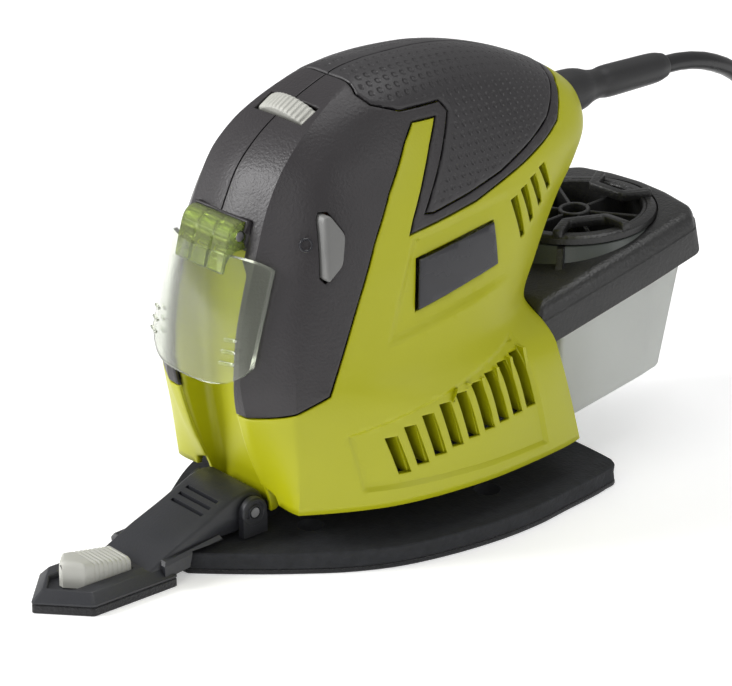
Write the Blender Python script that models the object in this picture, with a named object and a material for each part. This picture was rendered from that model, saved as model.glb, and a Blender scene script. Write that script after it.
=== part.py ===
"""Corded delta sander with a fold-up detail finger, a clear front guard and a dust box.

Frame: the origin is the motor axis on the sole, +Z is up, the nose points along -Y and the
dust box along +Y.  Scene units are metres.  Lengths below are written in millimetres and every
mesh is scaled by MM once, when it is finished.
"""
import math

import bmesh
import bpy
import numpy as np
from mathutils import Matrix, Vector

for old in list(bpy.data.objects):
    bpy.data.objects.remove(old, do_unlink=True)

# ------------------------------------------------------------------ driving dimensions (mm)
MM = 0.001
GAP = 0.3                      # clearance between touching pieces

SKIN = 2.2                     # thickness of the covers, grips and labels
WALL = 4.8                     # housing wall, measured from the outer surface
SEAM = 0.15                    # half the gap between the two housing shells
WELD = 0.0005                  # points nearer than this are one point
FLAT = 0.001                   # faces within this angle (radians) are one flat face

ORBIT = 0.9                    # crank offset: the pad moves in a circle of 1.8 mm
SOLE_Z = 0.0
HOOK_TOP = 1.2
FOAM_TOP = 6.7
PLATE_TOP = 15.0
PLATE_CHAMFER = 6.0

HINGE_Y, HINGE_Z = -45.0, 15.0         # finger hinge
FINGER_TIP = -116.1
FINGER_HALF = 13.6
FINGER_TOP = 6.5
GUARD_HINGE_Y, GUARD_HINGE_Z = -46.5, 101.5
GUARD_HALF = 23.0
GUARD_THICK = 1.6
SWITCH_Y, SWITCH_Z = -29.0, 99.5
DIAL_R, DIAL_THICK = 16.0, 6.0
DIAL_CENTRE = (0.0, -13.8, 120.9)
DIAL_TILT = math.radians(31.0)         # the dial axis rises towards the rear
BOX_SLOPE = 0.22                       # the dust box lid rises towards the rear
BOX_LEVEL = 70.0                       # lid top at y = BOX_REF
BOX_REF = 100.0
TURRET_Y, TURRET_R = 98.0, 25.7
TURRET_BASE, TURRET_SLOPE = 64.8, 0.06   # height of the turret's origin, and its tilt
BOOT_Z = 113.0
DUCT_Z = 35.5
CORD_D = 6.0
COIL_CENTRE = (0.0, 272.0)
COIL_INNER, COIL_OUTER, COIL_TOP = 21.0, 45.0, 18.3

# Half sections of the body: level z, then (x, y) from the front centre line round the +X side
# to the rear centre line.
BODY_SECTIONS = [
    (18.0, [(0, -41), (14.5, -40), (29, -40.5), (42, -15), (46.8, 14),
            (46, 40), (42.8, 60.5), (25, 62.5), (0, 63)]),
    (34.0, [(0, -47.5), (17, -46.8), (31, -41.5), (43.3, -16), (47.8, 14),
            (46.7, 36), (43.2, 55.5), (25, 60), (0, 60.5)]),
    (48.0, [(0, -51.6), (18.4, -51), (32, -43.2), (43.2, -17), (47.3, 12),
            (45.8, 32), (43, 51), (25, 58), (0, 58.5)]),
    (55.0, [(0, -53), (18, -52.3), (32, -43.5), (42, -18), (44.5, 11),
            (43, 32), (38.5, 51), (22, 58), (0, 58.5)]),
    (62.0, [(0, -53.3), (17.3, -52.5), (31.5, -43), (39.5, -18), (41, 10),
            (37, 32), (28, 49.5), (16, 58), (0, 60)]),
    (75.0, [(0, -52.2), (17, -51.3), (30.5, -40.5), (37, -16), (38.2, 10),
            (35, 36), (26.5, 55), (15, 64), (0, 66)]),
    (90.0, [(0, -49), (17, -47.5), (29.5, -36), (35, -14), (36.3, 12),
            (33.5, 44), (25.5, 63), (15, 73), (0, 76)]),
    (101.0, [(0, -46.5), (16.5, -44), (28.3, -32), (33, -11), (34.2, 14),
            (32, 49), (24.5, 71), (14, 82), (0, 85)]),
    (110.0, [(0, -43), (16, -40.5), (26.5, -28.5), (31, -8), (32, 16),
            (30, 52), (23, 76), (12, 87), (0, 90.5)]),
    (119.0, [(0, -38), (15.8, -35.5), (24, -24), (28, -4), (29, 18),
            (27, 50), (20, 74), (11, 84.5), (0, 88)]),
    (127.0, [(0, -29.5), (14.8, -27.5), (20.8, -16), (24.3, 2), (25.3, 20),
            (23, 47), (17, 65), (9, 74), (0, 77)]),
    (133.0, [(0, -19.5), (12.8, -18), (17.8, -8), (20.8, 6), (21.5, 21),
            (19.5, 41), (14, 55), (7.5, 62), (0, 64)]),
    (137.5, [(0, -9.5), (10.5, -8.5), (14, 0), (16, 9), (16.5, 21),
            (14.5, 35), (10.5, 44), (5.5, 49), (0, 50.5)]),
    (140.2, [(0, -1), (7, -0.5), (9.3, 6), (10.5, 13), (10.5, 21),
            (9, 30), (6.5, 35), (3.5, 38), (0, 38.5)]),
    (141.3, [(0, 8), (3, 8), (4, 12), (4.5, 16), (4.5, 20),
            (4, 24), (3, 26), (1.5, 27.5), (0, 28)]),
]

# Side outlines (y, z) of the pieces that share the body surface.
BLACK_AREA = [
    (-70, 45.5), (-51, 48.4), (-34.2, 56.4), (-21.9, 83), (-14.9, 97.7), (-7.1, 111), (2.1, 123),
    (6.9, 127.8), (15.2, 127.8), (10.4, 121), (6.4, 114.3), (-0.6, 102), (-2.5, 98), (10.9, 99.9),
    (24.3, 102), (45.1, 108.2), (57.2, 112.6), (65, 116), (69.5, 120.8), (73, 124.3), (96, 129),
    (96, 160), (-70, 160),
]
GRIP_AREA = [
    (-5, 160), (-4.9, 139.3), (-5.8, 136.4), (-3.8, 133.9), (4.2, 131.3), (18.6, 131.5),
    (20.5, 128.5), (12.3, 115.2), (4, 102.9), (7, 102.4), (21.8, 104.9), (35.5, 108.2), (49, 113.3),
    (60, 118), (66.5, 122.9), (72, 127.2), (94, 131.5), (94, 160),
]
LABEL_AREA = [(-0.5, 90.5), (30.5, 94.5), (31.5, 81), (-2.5, 75.5)]

# Half outline (x, y) of the sole from its blunt nose to the rear centre line.
SOLE_HALF = [(0, -67), (9, -66.7), (21.5, -53.2), (30.8, -41.8), (39.4, -29.8), (46.1, -16.1),
             (50.3, 0), (52.6, 18), (52.6, 34), (50.8, 48), (48.3, 66), (43, 75), (0, 76.5)]
DUST_HOLES = [(0, -31), (-17, -27), (17, -27), (-33, 30), (33, 30), (0, 56)]
HOUSING_SCREWS = [(-32, 27), (32, 26.5), (43, 64), (-33, 68), (61, 100)]
POSTS = {"front_left": (-29, -18), "front_right": (29, -18), "rear_left": (-32, 43),
         "rear_right": (32, 43)}
POST_R = 4.0


# ------------------------------------------------------------------ materials
def material(name, colour, roughness, metallic=0.0):
    mat = bpy.data.materials.get(name)
    if mat is None:
        mat = bpy.data.materials.new(name)
        mat.use_nodes = True
        shader = mat.node_tree.nodes["Principled BSDF"]
        shader.inputs["Base Color"].default_value = (*colour, 1.0)
        shader.inputs["Roughness"].default_value = roughness
        shader.inputs["Metallic"].default_value = metallic
        mat.diffuse_color = (*colour, 1.0)
    return mat


LIME = material("lime_plastic", (0.42, 0.47, 0.0), 0.42)
BLACK = material("black_plastic", (0.035, 0.033, 0.035), 0.5)
GRIP = material("grip_rubber", (0.045, 0.042, 0.045), 0.7)
PLATE = material("plate_plastic", (0.018, 0.02, 0.023), 0.45)
FOAM = material("foam", (0.022, 0.024, 0.028), 0.9)
HOOK = material("hook", (0.01, 0.01, 0.01), 0.95)
GREY = material("grey_plastic", (0.5, 0.5, 0.47), 0.5)
CLEAR = material("clear_plastic", (0.75, 0.85, 0.55), 0.1)
BIN = material("bin_plastic", (0.6, 0.63, 0.6), 0.3)
LABEL = material("label", (0.02, 0.02, 0.025), 0.3)
STEEL = material("steel", (0.55, 0.55, 0.56), 0.3, 1.0)
IRON = material("laminations", (0.2, 0.2, 0.21), 0.5, 1.0)
COPPER = material("copper", (0.72, 0.32, 0.14), 0.35, 1.0)
BRASS = material("brass", (0.7, 0.52, 0.2), 0.35, 1.0)
CARBON = material("carbon", (0.02, 0.02, 0.02), 0.7)
BOARD = material("board", (0.02, 0.12, 0.05), 0.5)
PAPER = material("filter_paper", (0.75, 0.73, 0.66), 0.9)
RUBBER = material("rubber", (0.012, 0.012, 0.012), 0.6)
CABLE = material("cable", (0.01, 0.01, 0.011), 0.4)


# ------------------------------------------------------------------ solids
def solid(verts, faces):
    """A temporary object in millimetres: flat triangles, turned outwards."""
    mesh = bpy.data.meshes.new("work")
    mesh.from_pydata([tuple(v) for v in verts], [], faces)
    work = bmesh.new()
    work.from_mesh(mesh)
    bmesh.ops.triangulate(work, faces=work.faces)
    bmesh.ops.recalc_face_normals(work, faces=work.faces)
    work.to_mesh(mesh)
    work.free()
    obj = bpy.data.objects.new("work", mesh)
    bpy.context.collection.objects.link(obj)
    return obj


def loft(rings):
    """A closed solid through rings of equal length, capped at both ends."""
    count = len(rings[0])
    verts = [tuple(p) for ring in rings for p in ring]
    faces = [tuple(range(count)), tuple(range(len(verts) - count, len(verts)))]
    for level in range(len(rings) - 1):
        low, high = level * count, (level + 1) * count
        for i in range(count):
            j = (i + 1) % count
            faces.append((low + i, low + j, high + j, high + i))
    return solid(verts, faces)


def prism_x(outline, x0, x1):
    return loft([[(x, y, z) for y, z in outline] for x in (x0, x1)])


def prism_y(outline, y0, y1):
    return loft([[(x, y, z) for x, z in outline] for y in (y0, y1)])


def prism_z(outline, z0, z1):
    return loft([[(x, y, z) for x, y in outline] for z in (z0, z1)])


def block(low, high):
    return prism_z([(low[0], low[1]), (high[0], low[1]), (high[0], high[1]), (low[0], high[1])],
                   low[2], high[2])


def turned(profile, centre=(0, 0, 0), axis=(0, 0, 1), segments=24, ring=False):
    """Turn (radius, height) points round an axis; ring=True closes the profile on itself."""
    turn = Vector((0, 0, 1)).rotation_difference(Vector(axis).normalized()).to_matrix()
    verts, rows, faces = [], [], []
    for radius, height in profile:
        if radius == 0:
            rows.append([len(verts)] * segments)
            verts.append(tuple(turn @ Vector((0, 0, height)) + Vector(centre)))
            continue
        rows.append(list(range(len(verts), len(verts) + segments)))
        for k in range(segments):
            angle = 2 * math.pi * (k + 0.5) / segments
            point = Vector((radius * math.cos(angle), radius * math.sin(angle), height))
            verts.append(tuple(turn @ point + Vector(centre)))
    pairs = list(zip(rows, rows[1:]))
    if ring:
        pairs.append((rows[-1], rows[0]))
    for low, high in pairs:
        for k in range(segments):
            j = (k + 1) % segments
            corners = list(dict.fromkeys((low[k], low[j], high[j], high[k])))
            if len(corners) > 2:
                faces.append(tuple(corners))
    return solid(verts, faces)


def rod(radius, low, high, centre=(0, 0, 0), axis=(0, 0, 1), segments=24):
    return turned([(0, low), (radius, low), (radius, high), (0, high)], centre, axis, segments)


def pipe(inner, outer, low, high, centre=(0, 0, 0), axis=(0, 0, 1), segments=24):
    return turned([(inner, low), (outer, low), (outer, high), (inner, high)], centre, axis,
                  segments, ring=True)


def combine(target, tools, operation):
    """Apply Booleans to a temporary object; the tools are used up."""
    for tool in tools:
        modifier = target.modifiers.new("cut", "BOOLEAN")
        modifier.operation = operation
        modifier.solver = "EXACT"
        modifier.object = tool
        bpy.context.view_layer.update()
        graph = bpy.context.evaluated_depsgraph_get()
        mesh = bpy.data.meshes.new_from_object(target.evaluated_get(graph))
        work = bmesh.new()
        work.from_mesh(mesh)
        bmesh.ops.remove_doubles(work, verts=work.verts, dist=WELD)
        bmesh.ops.dissolve_degenerate(work, edges=work.edges, dist=WELD)
        bmesh.ops.dissolve_limit(work, angle_limit=FLAT, verts=work.verts, edges=work.edges)
        bmesh.ops.triangulate(work, faces=work.faces)
        work.to_mesh(mesh)
        work.free()
        target.modifiers.clear()
        target.data = mesh
        bpy.data.objects.remove(tool, do_unlink=True)
    return target


def cut(target, *tools):
    return combine(target, tools, "DIFFERENCE")


def add(target, *tools):
    return combine(target, tools, "UNION")


def keep(target, *tools):
    return combine(target, tools, "INTERSECT")


def copy_of(obj):
    twin = obj.copy()
    twin.data = obj.data.copy()
    bpy.context.collection.objects.link(twin)
    return twin


def part(name, obj, mat, pivot=(0, 0, 0), bevel=0.0, sharp=32.0):
    """Name a finished piece, put its origin on its pivot and give it its material."""
    obj.name = name
    mesh = obj.data
    mesh.name = name
    shift = Vector(pivot) * MM
    mesh.transform(Matrix.Translation(-shift) @ Matrix.Scale(MM, 4))
    obj.location = shift
    mesh.materials.clear()
    mesh.materials.append(mat)
    mesh.shade_smooth()
    mesh.set_sharp_from_angle(angle=math.radians(sharp))
    if bevel:
        modifier = obj.modifiers.new("edges", "BEVEL")
        modifier.width = bevel * MM
        modifier.segments = 1
        modifier.limit_method = "ANGLE"
        modifier.angle_limit = math.radians(40)
    return obj


def mirrored_outline(half):
    """A closed outline from its +X half, which starts and ends on the centre line."""
    return half + [(-x, y) for x, y in reversed(half) if x > 0]


def offset_outline(outline, distance):
    """Move a closed outline outwards, or inwards for a negative distance."""
    area = sum(a[0] * b[1] - b[0] * a[1] for a, b in zip(outline, outline[1:] + outline[:1]))
    side = math.copysign(1.0, area)
    moved = []
    for i, point in enumerate(outline):
        before, after = outline[i - 1], outline[(i + 1) % len(outline)]
        first = Vector((point[1] - before[1], before[0] - point[0])).normalized() * side
        second = Vector((after[1] - point[1], point[0] - after[0])).normalized() * side
        corner = (first + second) / (1 + first.dot(second))
        moved.append((point[0] + corner.x * distance, point[1] + corner.y * distance))
    return moved


def catmull_rom(points, steps):
    """Points on a smooth curve through all the given points except the first and last."""
    p = np.asarray(points, float)
    curve = []
    for i in range(1, len(p) - 2):
        for t in np.arange(steps) / steps:
            curve.append(0.5 * (2 * p[i] + (p[i + 1] - p[i - 1]) * t
                                + (2 * p[i - 1] - 5 * p[i] + 4 * p[i + 1] - p[i + 2]) * t ** 2
                                + (3 * p[i] - p[i - 1] - 3 * p[i + 1] + p[i + 2]) * t ** 3))
    curve.append(p[-2])
    return np.array(curve)


# ------------------------------------------------------------------ the body surface
def body_grid():
    """Rows of points round the body, one row for each section."""
    grid = []
    for level, half in BODY_SECTIONS:
        half = np.array(half, float)
        ends = half * (-1, 1)
        curve = catmull_rom(np.vstack([ends[1], half, ends[-2]]), 2)
        ring = [(x, y, level) for x, y in curve]
        ring += [(-x, y, level) for x, y in curve[-2:0:-1]]
        grid.append(ring)
    return np.array(grid)


BODY_GRID = body_grid()


def body_solid(depth, floor=None, every=1):
    """The body shape moved inwards by depth; floor adds a straight skirt down to that level.

    every=2 keeps half of the points round each section, for surfaces that nobody sees.
    """
    grid = BODY_GRID
    around = np.roll(grid, -1, axis=1) - np.roll(grid, 1, axis=1)
    upward = np.gradient(grid, axis=0)
    normals = np.cross(around, upward)
    normals[-1] = (0, 0, 1)
    normals /= np.linalg.norm(normals, axis=2, keepdims=True)
    normals[0, :, 2] = 0
    moved = grid - normals * depth
    rings = [list(map(tuple, ring[::every])) for ring in moved]
    if floor is not None:
        rings.insert(0, [(x, y, floor) for x, y, z in rings[0]])
    return loft(rings)


def area_prism(area, shrink=0.0):
    return prism_x(offset_outline(area, -shrink) if shrink else area, -70, 70)


def split(obj):
    """Cut a body-wide piece into its left (-X) and right (+X) halves."""
    right = keep(copy_of(obj), block((SEAM, -140, -5), (80, 140, 170)))
    left = keep(obj, block((-80, -140, -5), (-SEAM, 140, 170)))
    return left, right


def channel(grow=0.0):
    """The recess down the front of the housing, behind the guard and above the finger."""
    front = [(-12.5, 5), (-13.5, 48), (-14.5, 62), (-14.5, 92), (-11, 96.5), (11, 96.5),
             (14.5, 92), (14.5, 62), (13.5, 48), (12.5, 5)]
    side = [(-80, 5), (-35, 5), (-36.5, 20), (-41, 50), (-41, 78), (-39.5, 96.5), (-80, 96.5)]
    if grow:
        front = offset_outline(front, grow)
        side = offset_outline(side, grow)
    return keep(prism_y(front, -90, -20), prism_x(side, -30, 30))


def switch_outline(grow=0.0):
    outline = [(-3.4, 7.7), (-2.6, 9.2), (-0.4, 9.1), (3.3, 3.4), (1, -5.1), (-4.2, -9.6),
               (-5.6, -8.3)]
    outline = [(SWITCH_Y + y, SWITCH_Z + z) for y, z in outline]
    return offset_outline(outline, grow) if grow else outline


def dial_axis():
    return (0, math.cos(DIAL_TILT), math.sin(DIAL_TILT))


def side_vent(index, sign):
    """One of the nine slanted slots in the side of the skirt."""
    y = -18.5 + index * 6.1
    low = 28.0 + index * 1.1 + 1.5 * math.sin(math.pi * index / 8)
    high = low + 12.5 + index * 0.75
    lean = 5.0
    slot = [(y + lean, low), (y + lean + 3.2, low), (y + 3.2, high), (y, high)]
    return prism_x(slot, *sorted((sign * 36, sign * 60)))


def rear_vent(index, sign):
    """One of the four slots in the band behind the label."""
    y = 38.5 + index * 4.5
    top = 98.8 + index * 2.2
    tall = 12.0 - index * 1.6
    slot = [(y, top), (y + 2.6, top + 0.8), (y + 5.6, top - tall), (y + 4.0, top - tall - 0.8)]
    return prism_x(slot, *sorted((sign * 20, sign * 60)))


def housing():
    """Both lime shells: hollow, with pockets for the covers, ribs, bosses and vents."""
    shell = body_solid(0)
    pocket = cut(area_prism(BLACK_AREA), body_solid(SKIN + GAP, every=2))
    shell = cut(shell, pocket)
    cavity = body_solid(WALL, floor=8, every=2)
    cavity = cut(cavity, channel(2.4))
    for low, high, front in ((45.0, 50.0, -60), (98.0, 104.3, -19)):
        rib = block((-60, front, low), (60, 100, high))
        if low < 60:
            holes = [rod(7, 0, 60, (x, y, 20), (0, 0, 1), 8)
                     for x, y in ((-24, 20), (24, 20), (0, -27), (0, 30))]
            seat = rod(11.3, 0, 60, (0, 0, 20))
        else:
            holes = [rod(6, 0, 60, (x, y, 70), (0, 0, 1), 8) for x, y in ((0, 24), (0, 50))]
            seat = rod(8.3, 0, 60, (0, 0, 70))
        cavity = cut(cavity, cut(rib, seat, *holes))
    for y, z in HOUSING_SCREWS:
        cavity = cut(cavity, rod(4.6, -60, 60, (0, y, z), (1, 0, 0), 8))
    shell = cut(shell, cavity, channel())
    shell = cut(shell, block((-18, -80, 5), (18, -37.6, 22.5)))
    for y, z in HOUSING_SCREWS:
        shell = cut(shell, rod(2.0, -70, 12, (0, y, z), (1, 0, 0), 8),
                    rod(4.2, -70, -22, (0, y, z), (1, 0, 0), 8))
    for sign in (-1, 1):
        shell = cut(shell, *[side_vent(i, sign) for i in range(9)])
        shell = cut(shell, *[rear_vent(i, sign) for i in range(4)])
    shell = cut(shell, cut(area_prism(LABEL_AREA), body_solid(1.5)))
    shell = cut(shell, prism_x(switch_outline(0.5), -60, 60))
    shell = cut(shell, rod(DIAL_R + 1, -DIAL_THICK / 2 - 0.6, DIAL_THICK / 2 + 0.6, DIAL_CENTRE,
                           dial_axis(), 24))
    hinge = (0, GUARD_HINGE_Y, GUARD_HINGE_Z)
    shell = cut(shell, rod(5.2, -12.5, 12.5, hinge, (1, 0, 0), 16),
                rod(1.8, -15.4, 15.4, hinge, (1, 0, 0), 12))
    shell = cut(shell, rod(7.8, 70, 120, (0, 0, BOOT_Z), (0, 1, 0)))
    shell = cut(shell, rod(8.4, 40, 80, (0, 0, DUCT_Z), (0, 1, 0)))
    left, right = split(shell)
    part("housing_left", left, LIME)
    part("housing_right", right, LIME)


def covers():
    """The black covers and the textured grips, each split on the seam."""
    skin = keep(body_solid(0), area_prism(BLACK_AREA, GAP))
    skin = cut(skin, body_solid(SKIN, every=2), area_prism(GRIP_AREA), channel(GAP))
    skin = cut(skin, prism_x(switch_outline(0.5), -60, 60))
    skin = cut(skin, rod(DIAL_R + 1, -DIAL_THICK / 2 - 0.6, DIAL_THICK / 2 + 0.6, DIAL_CENTRE,
                         dial_axis(), 24))
    hinge = (0, GUARD_HINGE_Y, GUARD_HINGE_Z)
    skin = cut(skin, rod(5.2, -12.5, 12.5, hinge, (1, 0, 0), 16),
               rod(1.8, -15.4, 15.4, hinge, (1, 0, 0), 12))
    left, right = split(skin)
    part("front_cover_left", left, BLACK)
    part("front_cover_right", right, BLACK)
    grip = cut(keep(body_solid(0), area_prism(GRIP_AREA, GAP)), body_solid(SKIN, every=2))
    left, right = split(grip)
    part("grip_left", left, GRIP)
    part("grip_right", right, GRIP)
    label = cut(keep(body_solid(0), area_prism(LABEL_AREA, GAP)), body_solid(1.2))
    left, right = split(label)
    part("label_left", left, LABEL)
    part("label_right", right, LABEL)


# ------------------------------------------------------------------ guard, switch and dial
def guard():
    """Clear front guard: a bowed sheet with a hinge barrel, and its pin."""
    rows = []
    columns = 10
    for level in range(7):
        down = level / 6
        top, side_y = 97.0, -45.0 - 8.3 * down
        row = []
        for k in range(columns + 1):
            u = 2 * k / columns - 1
            low = 59.5 + 6.5 * abs(u) ** 5
            z = top + (low - top) * down - 3.0 * abs(u) ** 6 * (1 - down)
            bow = (8.0 - 1.2 * down + 1.2 * math.sin(math.pi * down)) * (1 - abs(u) ** 2.4)
            row.append((u * GUARD_HALF, side_y - bow, z))
        rows.append(row)
    outer = np.array(rows)
    inner = outer + (0, GUARD_THICK, 0)
    width = columns + 1
    verts = [tuple(p) for p in outer.reshape(-1, 3)] + [tuple(p) for p in inner.reshape(-1, 3)]
    back = len(verts) // 2
    faces = []
    for i in range(6):
        for k in range(columns):
            a = i * width + k
            faces.append((a, a + 1, a + width + 1, a + width))
            faces.append((back + a, back + a + width, back + a + width + 1, back + a + 1))
    rim = [k for k in range(width)] + [i * width + columns for i in range(1, 7)]
    rim += [6 * width + k for k in range(columns - 1, -1, -1)] + [i * width for i in range(5, 0, -1)]
    for a, b in zip(rim, rim[1:] + rim[:1]):
        faces.append((a, b, back + b, back + a))
    sheet = solid(verts, faces)
    barrel = rod(4.4, -11, 11, (0, GUARD_HINGE_Y, GUARD_HINGE_Z), (1, 0, 0), 16)
    web = block((-11, -51.5, 95), (11, -47.5, 101))
    bore = rod(1.8, -20, 20, (0, GUARD_HINGE_Y, GUARD_HINGE_Z), (1, 0, 0), 12)
    sheet = cut(add(sheet, barrel, web), bore)
    part("guard", sheet, CLEAR, pivot=(0, GUARD_HINGE_Y, GUARD_HINGE_Z))
    pin = rod(1.5, -15, 15, (0, GUARD_HINGE_Y, GUARD_HINGE_Z), (1, 0, 0), 12)
    part("guard_pin", pin, STEEL)


def switch():
    """Push-through switch bar with a paddle at each end, and the switch it works."""
    bar = block((-24, SWITCH_Y - 3.2, SWITCH_Z - 3.5), (24, SWITCH_Y + 0.2, SWITCH_Z + 3.5))
    near = keep(prism_x(switch_outline(), 20, 36), body_solid(-2.6))
    far = keep(prism_x(switch_outline(), -36, -20), body_solid(1.2))
    bar = add(bar, near, far)
    part("switch_bar", bar, GREY, bevel=0.6)
    part("switch_body", block((-9, -24.5, 87), (9, -12.5, 93.5)), BLACK, bevel=0.5)


def dial():
    """Speed dial: a thumb wheel on a short spindle, and the control behind it."""
    half = DIAL_THICK / 2
    teeth = 24
    outline = [((DIAL_R if k % 2 else DIAL_R - 0.5) * math.cos(math.pi * k / teeth),
                (DIAL_R if k % 2 else DIAL_R - 0.5) * math.sin(math.pi * k / teeth))
               for k in range(2 * teeth)]
    turn = Vector((0, 0, 1)).rotation_difference(Vector(dial_axis())).to_matrix()
    rings = []
    for height, shrink in ((-half, 0.97), (-half + 0.6, 1), (half - 0.6, 1), (half, 0.97)):
        rings.append([tuple(turn @ Vector((x * shrink, y * shrink, height)) + Vector(DIAL_CENTRE))
                      for x, y in outline])
    wheel = add(loft(rings), rod(2.5, half - 1, 9, DIAL_CENTRE, dial_axis(), 12))
    part("speed_dial", wheel, GREY, pivot=DIAL_CENTRE)
    centre = Vector(DIAL_CENTRE) + Vector(dial_axis()) * 9.3
    pot = rod(6, 0, 6.5, tuple(centre), dial_axis(), 12)
    part("speed_control", pot, BLACK)
    part("control_board", block((-13, 10, 110), (13, 44, 111.6)), BOARD)


# ------------------------------------------------------------------ pad and finger
def sole_outline(inset=0.0):
    outline = mirrored_outline(SOLE_HALF)
    return offset_outline(outline, -inset) if inset else outline


def pad():
    """The delta pad in three layers, with its bearing boss and dust holes."""
    bores = [(x + ORBIT, y) for x, y in DUST_HOLES]

    def drill(obj):
        return cut(obj, *[rod(4.2, -5, 30, (x, y, 0), (0, 0, 1), 12) for x, y in bores])

    part("hook_face", drill(prism_z(sole_outline(), SOLE_Z, HOOK_TOP)), HOOK)
    foam = drill(prism_z(sole_outline(0.2), HOOK_TOP + 0.3, FOAM_TOP))
    part("foam_pad", foam, FOAM)
    plate = loft([[(x, y, z) for x, y in sole_outline(inset)]
                  for z, inset in ((FOAM_TOP + 0.3, 0.8), (8.2, 0.3), (PLATE_TOP, PLATE_CHAMFER))])
    boss = rod(15, 10, 22, (ORBIT, 0, 0), (0, 0, 1), 24)
    plate = add(plate, boss)
    plate = cut(plate, block((-14.4, -80, 8.3), (14.4, -37, 40)))
    for sign in (-1, 1):
        ear = rod(4.6, sign * 12.9 - 1.3, sign * 12.9 + 1.3, (0, HINGE_Y, HINGE_Z), (1, 0, 0), 16)
        foot = block((sign * 12.9 - 1.3, HINGE_Y - 4.6, 7.6),
                     (sign * 12.9 + 1.3, HINGE_Y + 4.6, HINGE_Z))
        plate = add(plate, add(ear, foot))
    plate = cut(plate, rod(12.3, 12, 40, (ORBIT, 0, 0), (0, 0, 1), 24))
    plate = cut(plate, rod(1.9, -20, 20, (0, HINGE_Y, HINGE_Z), (1, 0, 0), 12))
    part("base_plate", drill(plate), PLATE, pivot=(ORBIT, 0, 0))
    part("pad_bearing", pipe(6.1, 12.0, 16, 22, (ORBIT, 0, 0)), STEEL, pivot=(ORBIT, 0, 0))


def finger():
    """Fold-up detail finger with its hook pad, sliding latch and hinge pin."""
    tip = [(0, FINGER_TIP), (FINGER_HALF, -103.5), (FINGER_HALF, -73.6), (0, -73.6)]
    sole = mirrored_outline(tip)
    part("finger_pad", prism_z(offset_outline(sole, -0.1), SOLE_Z, 2.6), HOOK,
         pivot=(0, HINGE_Y, HINGE_Z))
    body = loft([[(x, y, z) for x, y in offset_outline(sole, -inset)]
                 for z, inset in ((2.9, 0.0), (3.6, 0.0), (FINGER_TOP, 2.8))])
    arm_side = [(-78, 2.9), (-67.4, 2.9), (-67.4, 8.9), (-43, 8.9), (-39.2, 12.5), (-38.8, 16),
                (-41, 20.2), (-45, 21.3), (-50, 20.4), (-62, 15.2), (-73, 11), (-78, 8.5),
                (-82, 6.4), (-82, 4)]
    arm = prism_x(arm_side, -11.2, 11.2)
    wide = loft([[(-13.4, -78, z), (-12.4, -56, z), (12.4, -56, z), (13.4, -78, z)]
                 for z in (8.9, 11.4)])
    cheeks = keep(wide, prism_x([(-78, 5), (-78, 9.5), (-66, 11.3), (-56, 11.3), (-56, 5)], -20, 20))
    body = add(body, arm, cheeks)
    pocket = [(0, -110.6), (5.9, -105.4), (6.3, -84.2), (0, -84.2)]
    body = cut(body, prism_z(mirrored_outline(pocket), 4.8, 20))
    body = cut(body, rod(1.9, -20, 20, (0, HINGE_Y, HINGE_Z), (1, 0, 0), 12))
    part("finger_arm", body, PLATE, pivot=(0, HINGE_Y, HINGE_Z))
    nose = [(0, -105.4), (5.8, -100.8), (5.8, -84.6), (0, -84.6)]
    outline = mirrored_outline(nose)
    rings = [[(x * s, y, z if flat else z + 0.2 * (-84.6 - y) * rise) for x, y in outline]
             for z, s, rise, flat in ((5.1, 1, 0, True), (8.8, 1, 0.5, False), (9.9, 0.8, 0.9, False))]
    part("finger_latch", loft(rings), GREY)
    part("finger_pin", rod(1.6, -14.1, 14.1, (0, HINGE_Y, HINGE_Z), (1, 0, 0), 12), STEEL)


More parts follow.
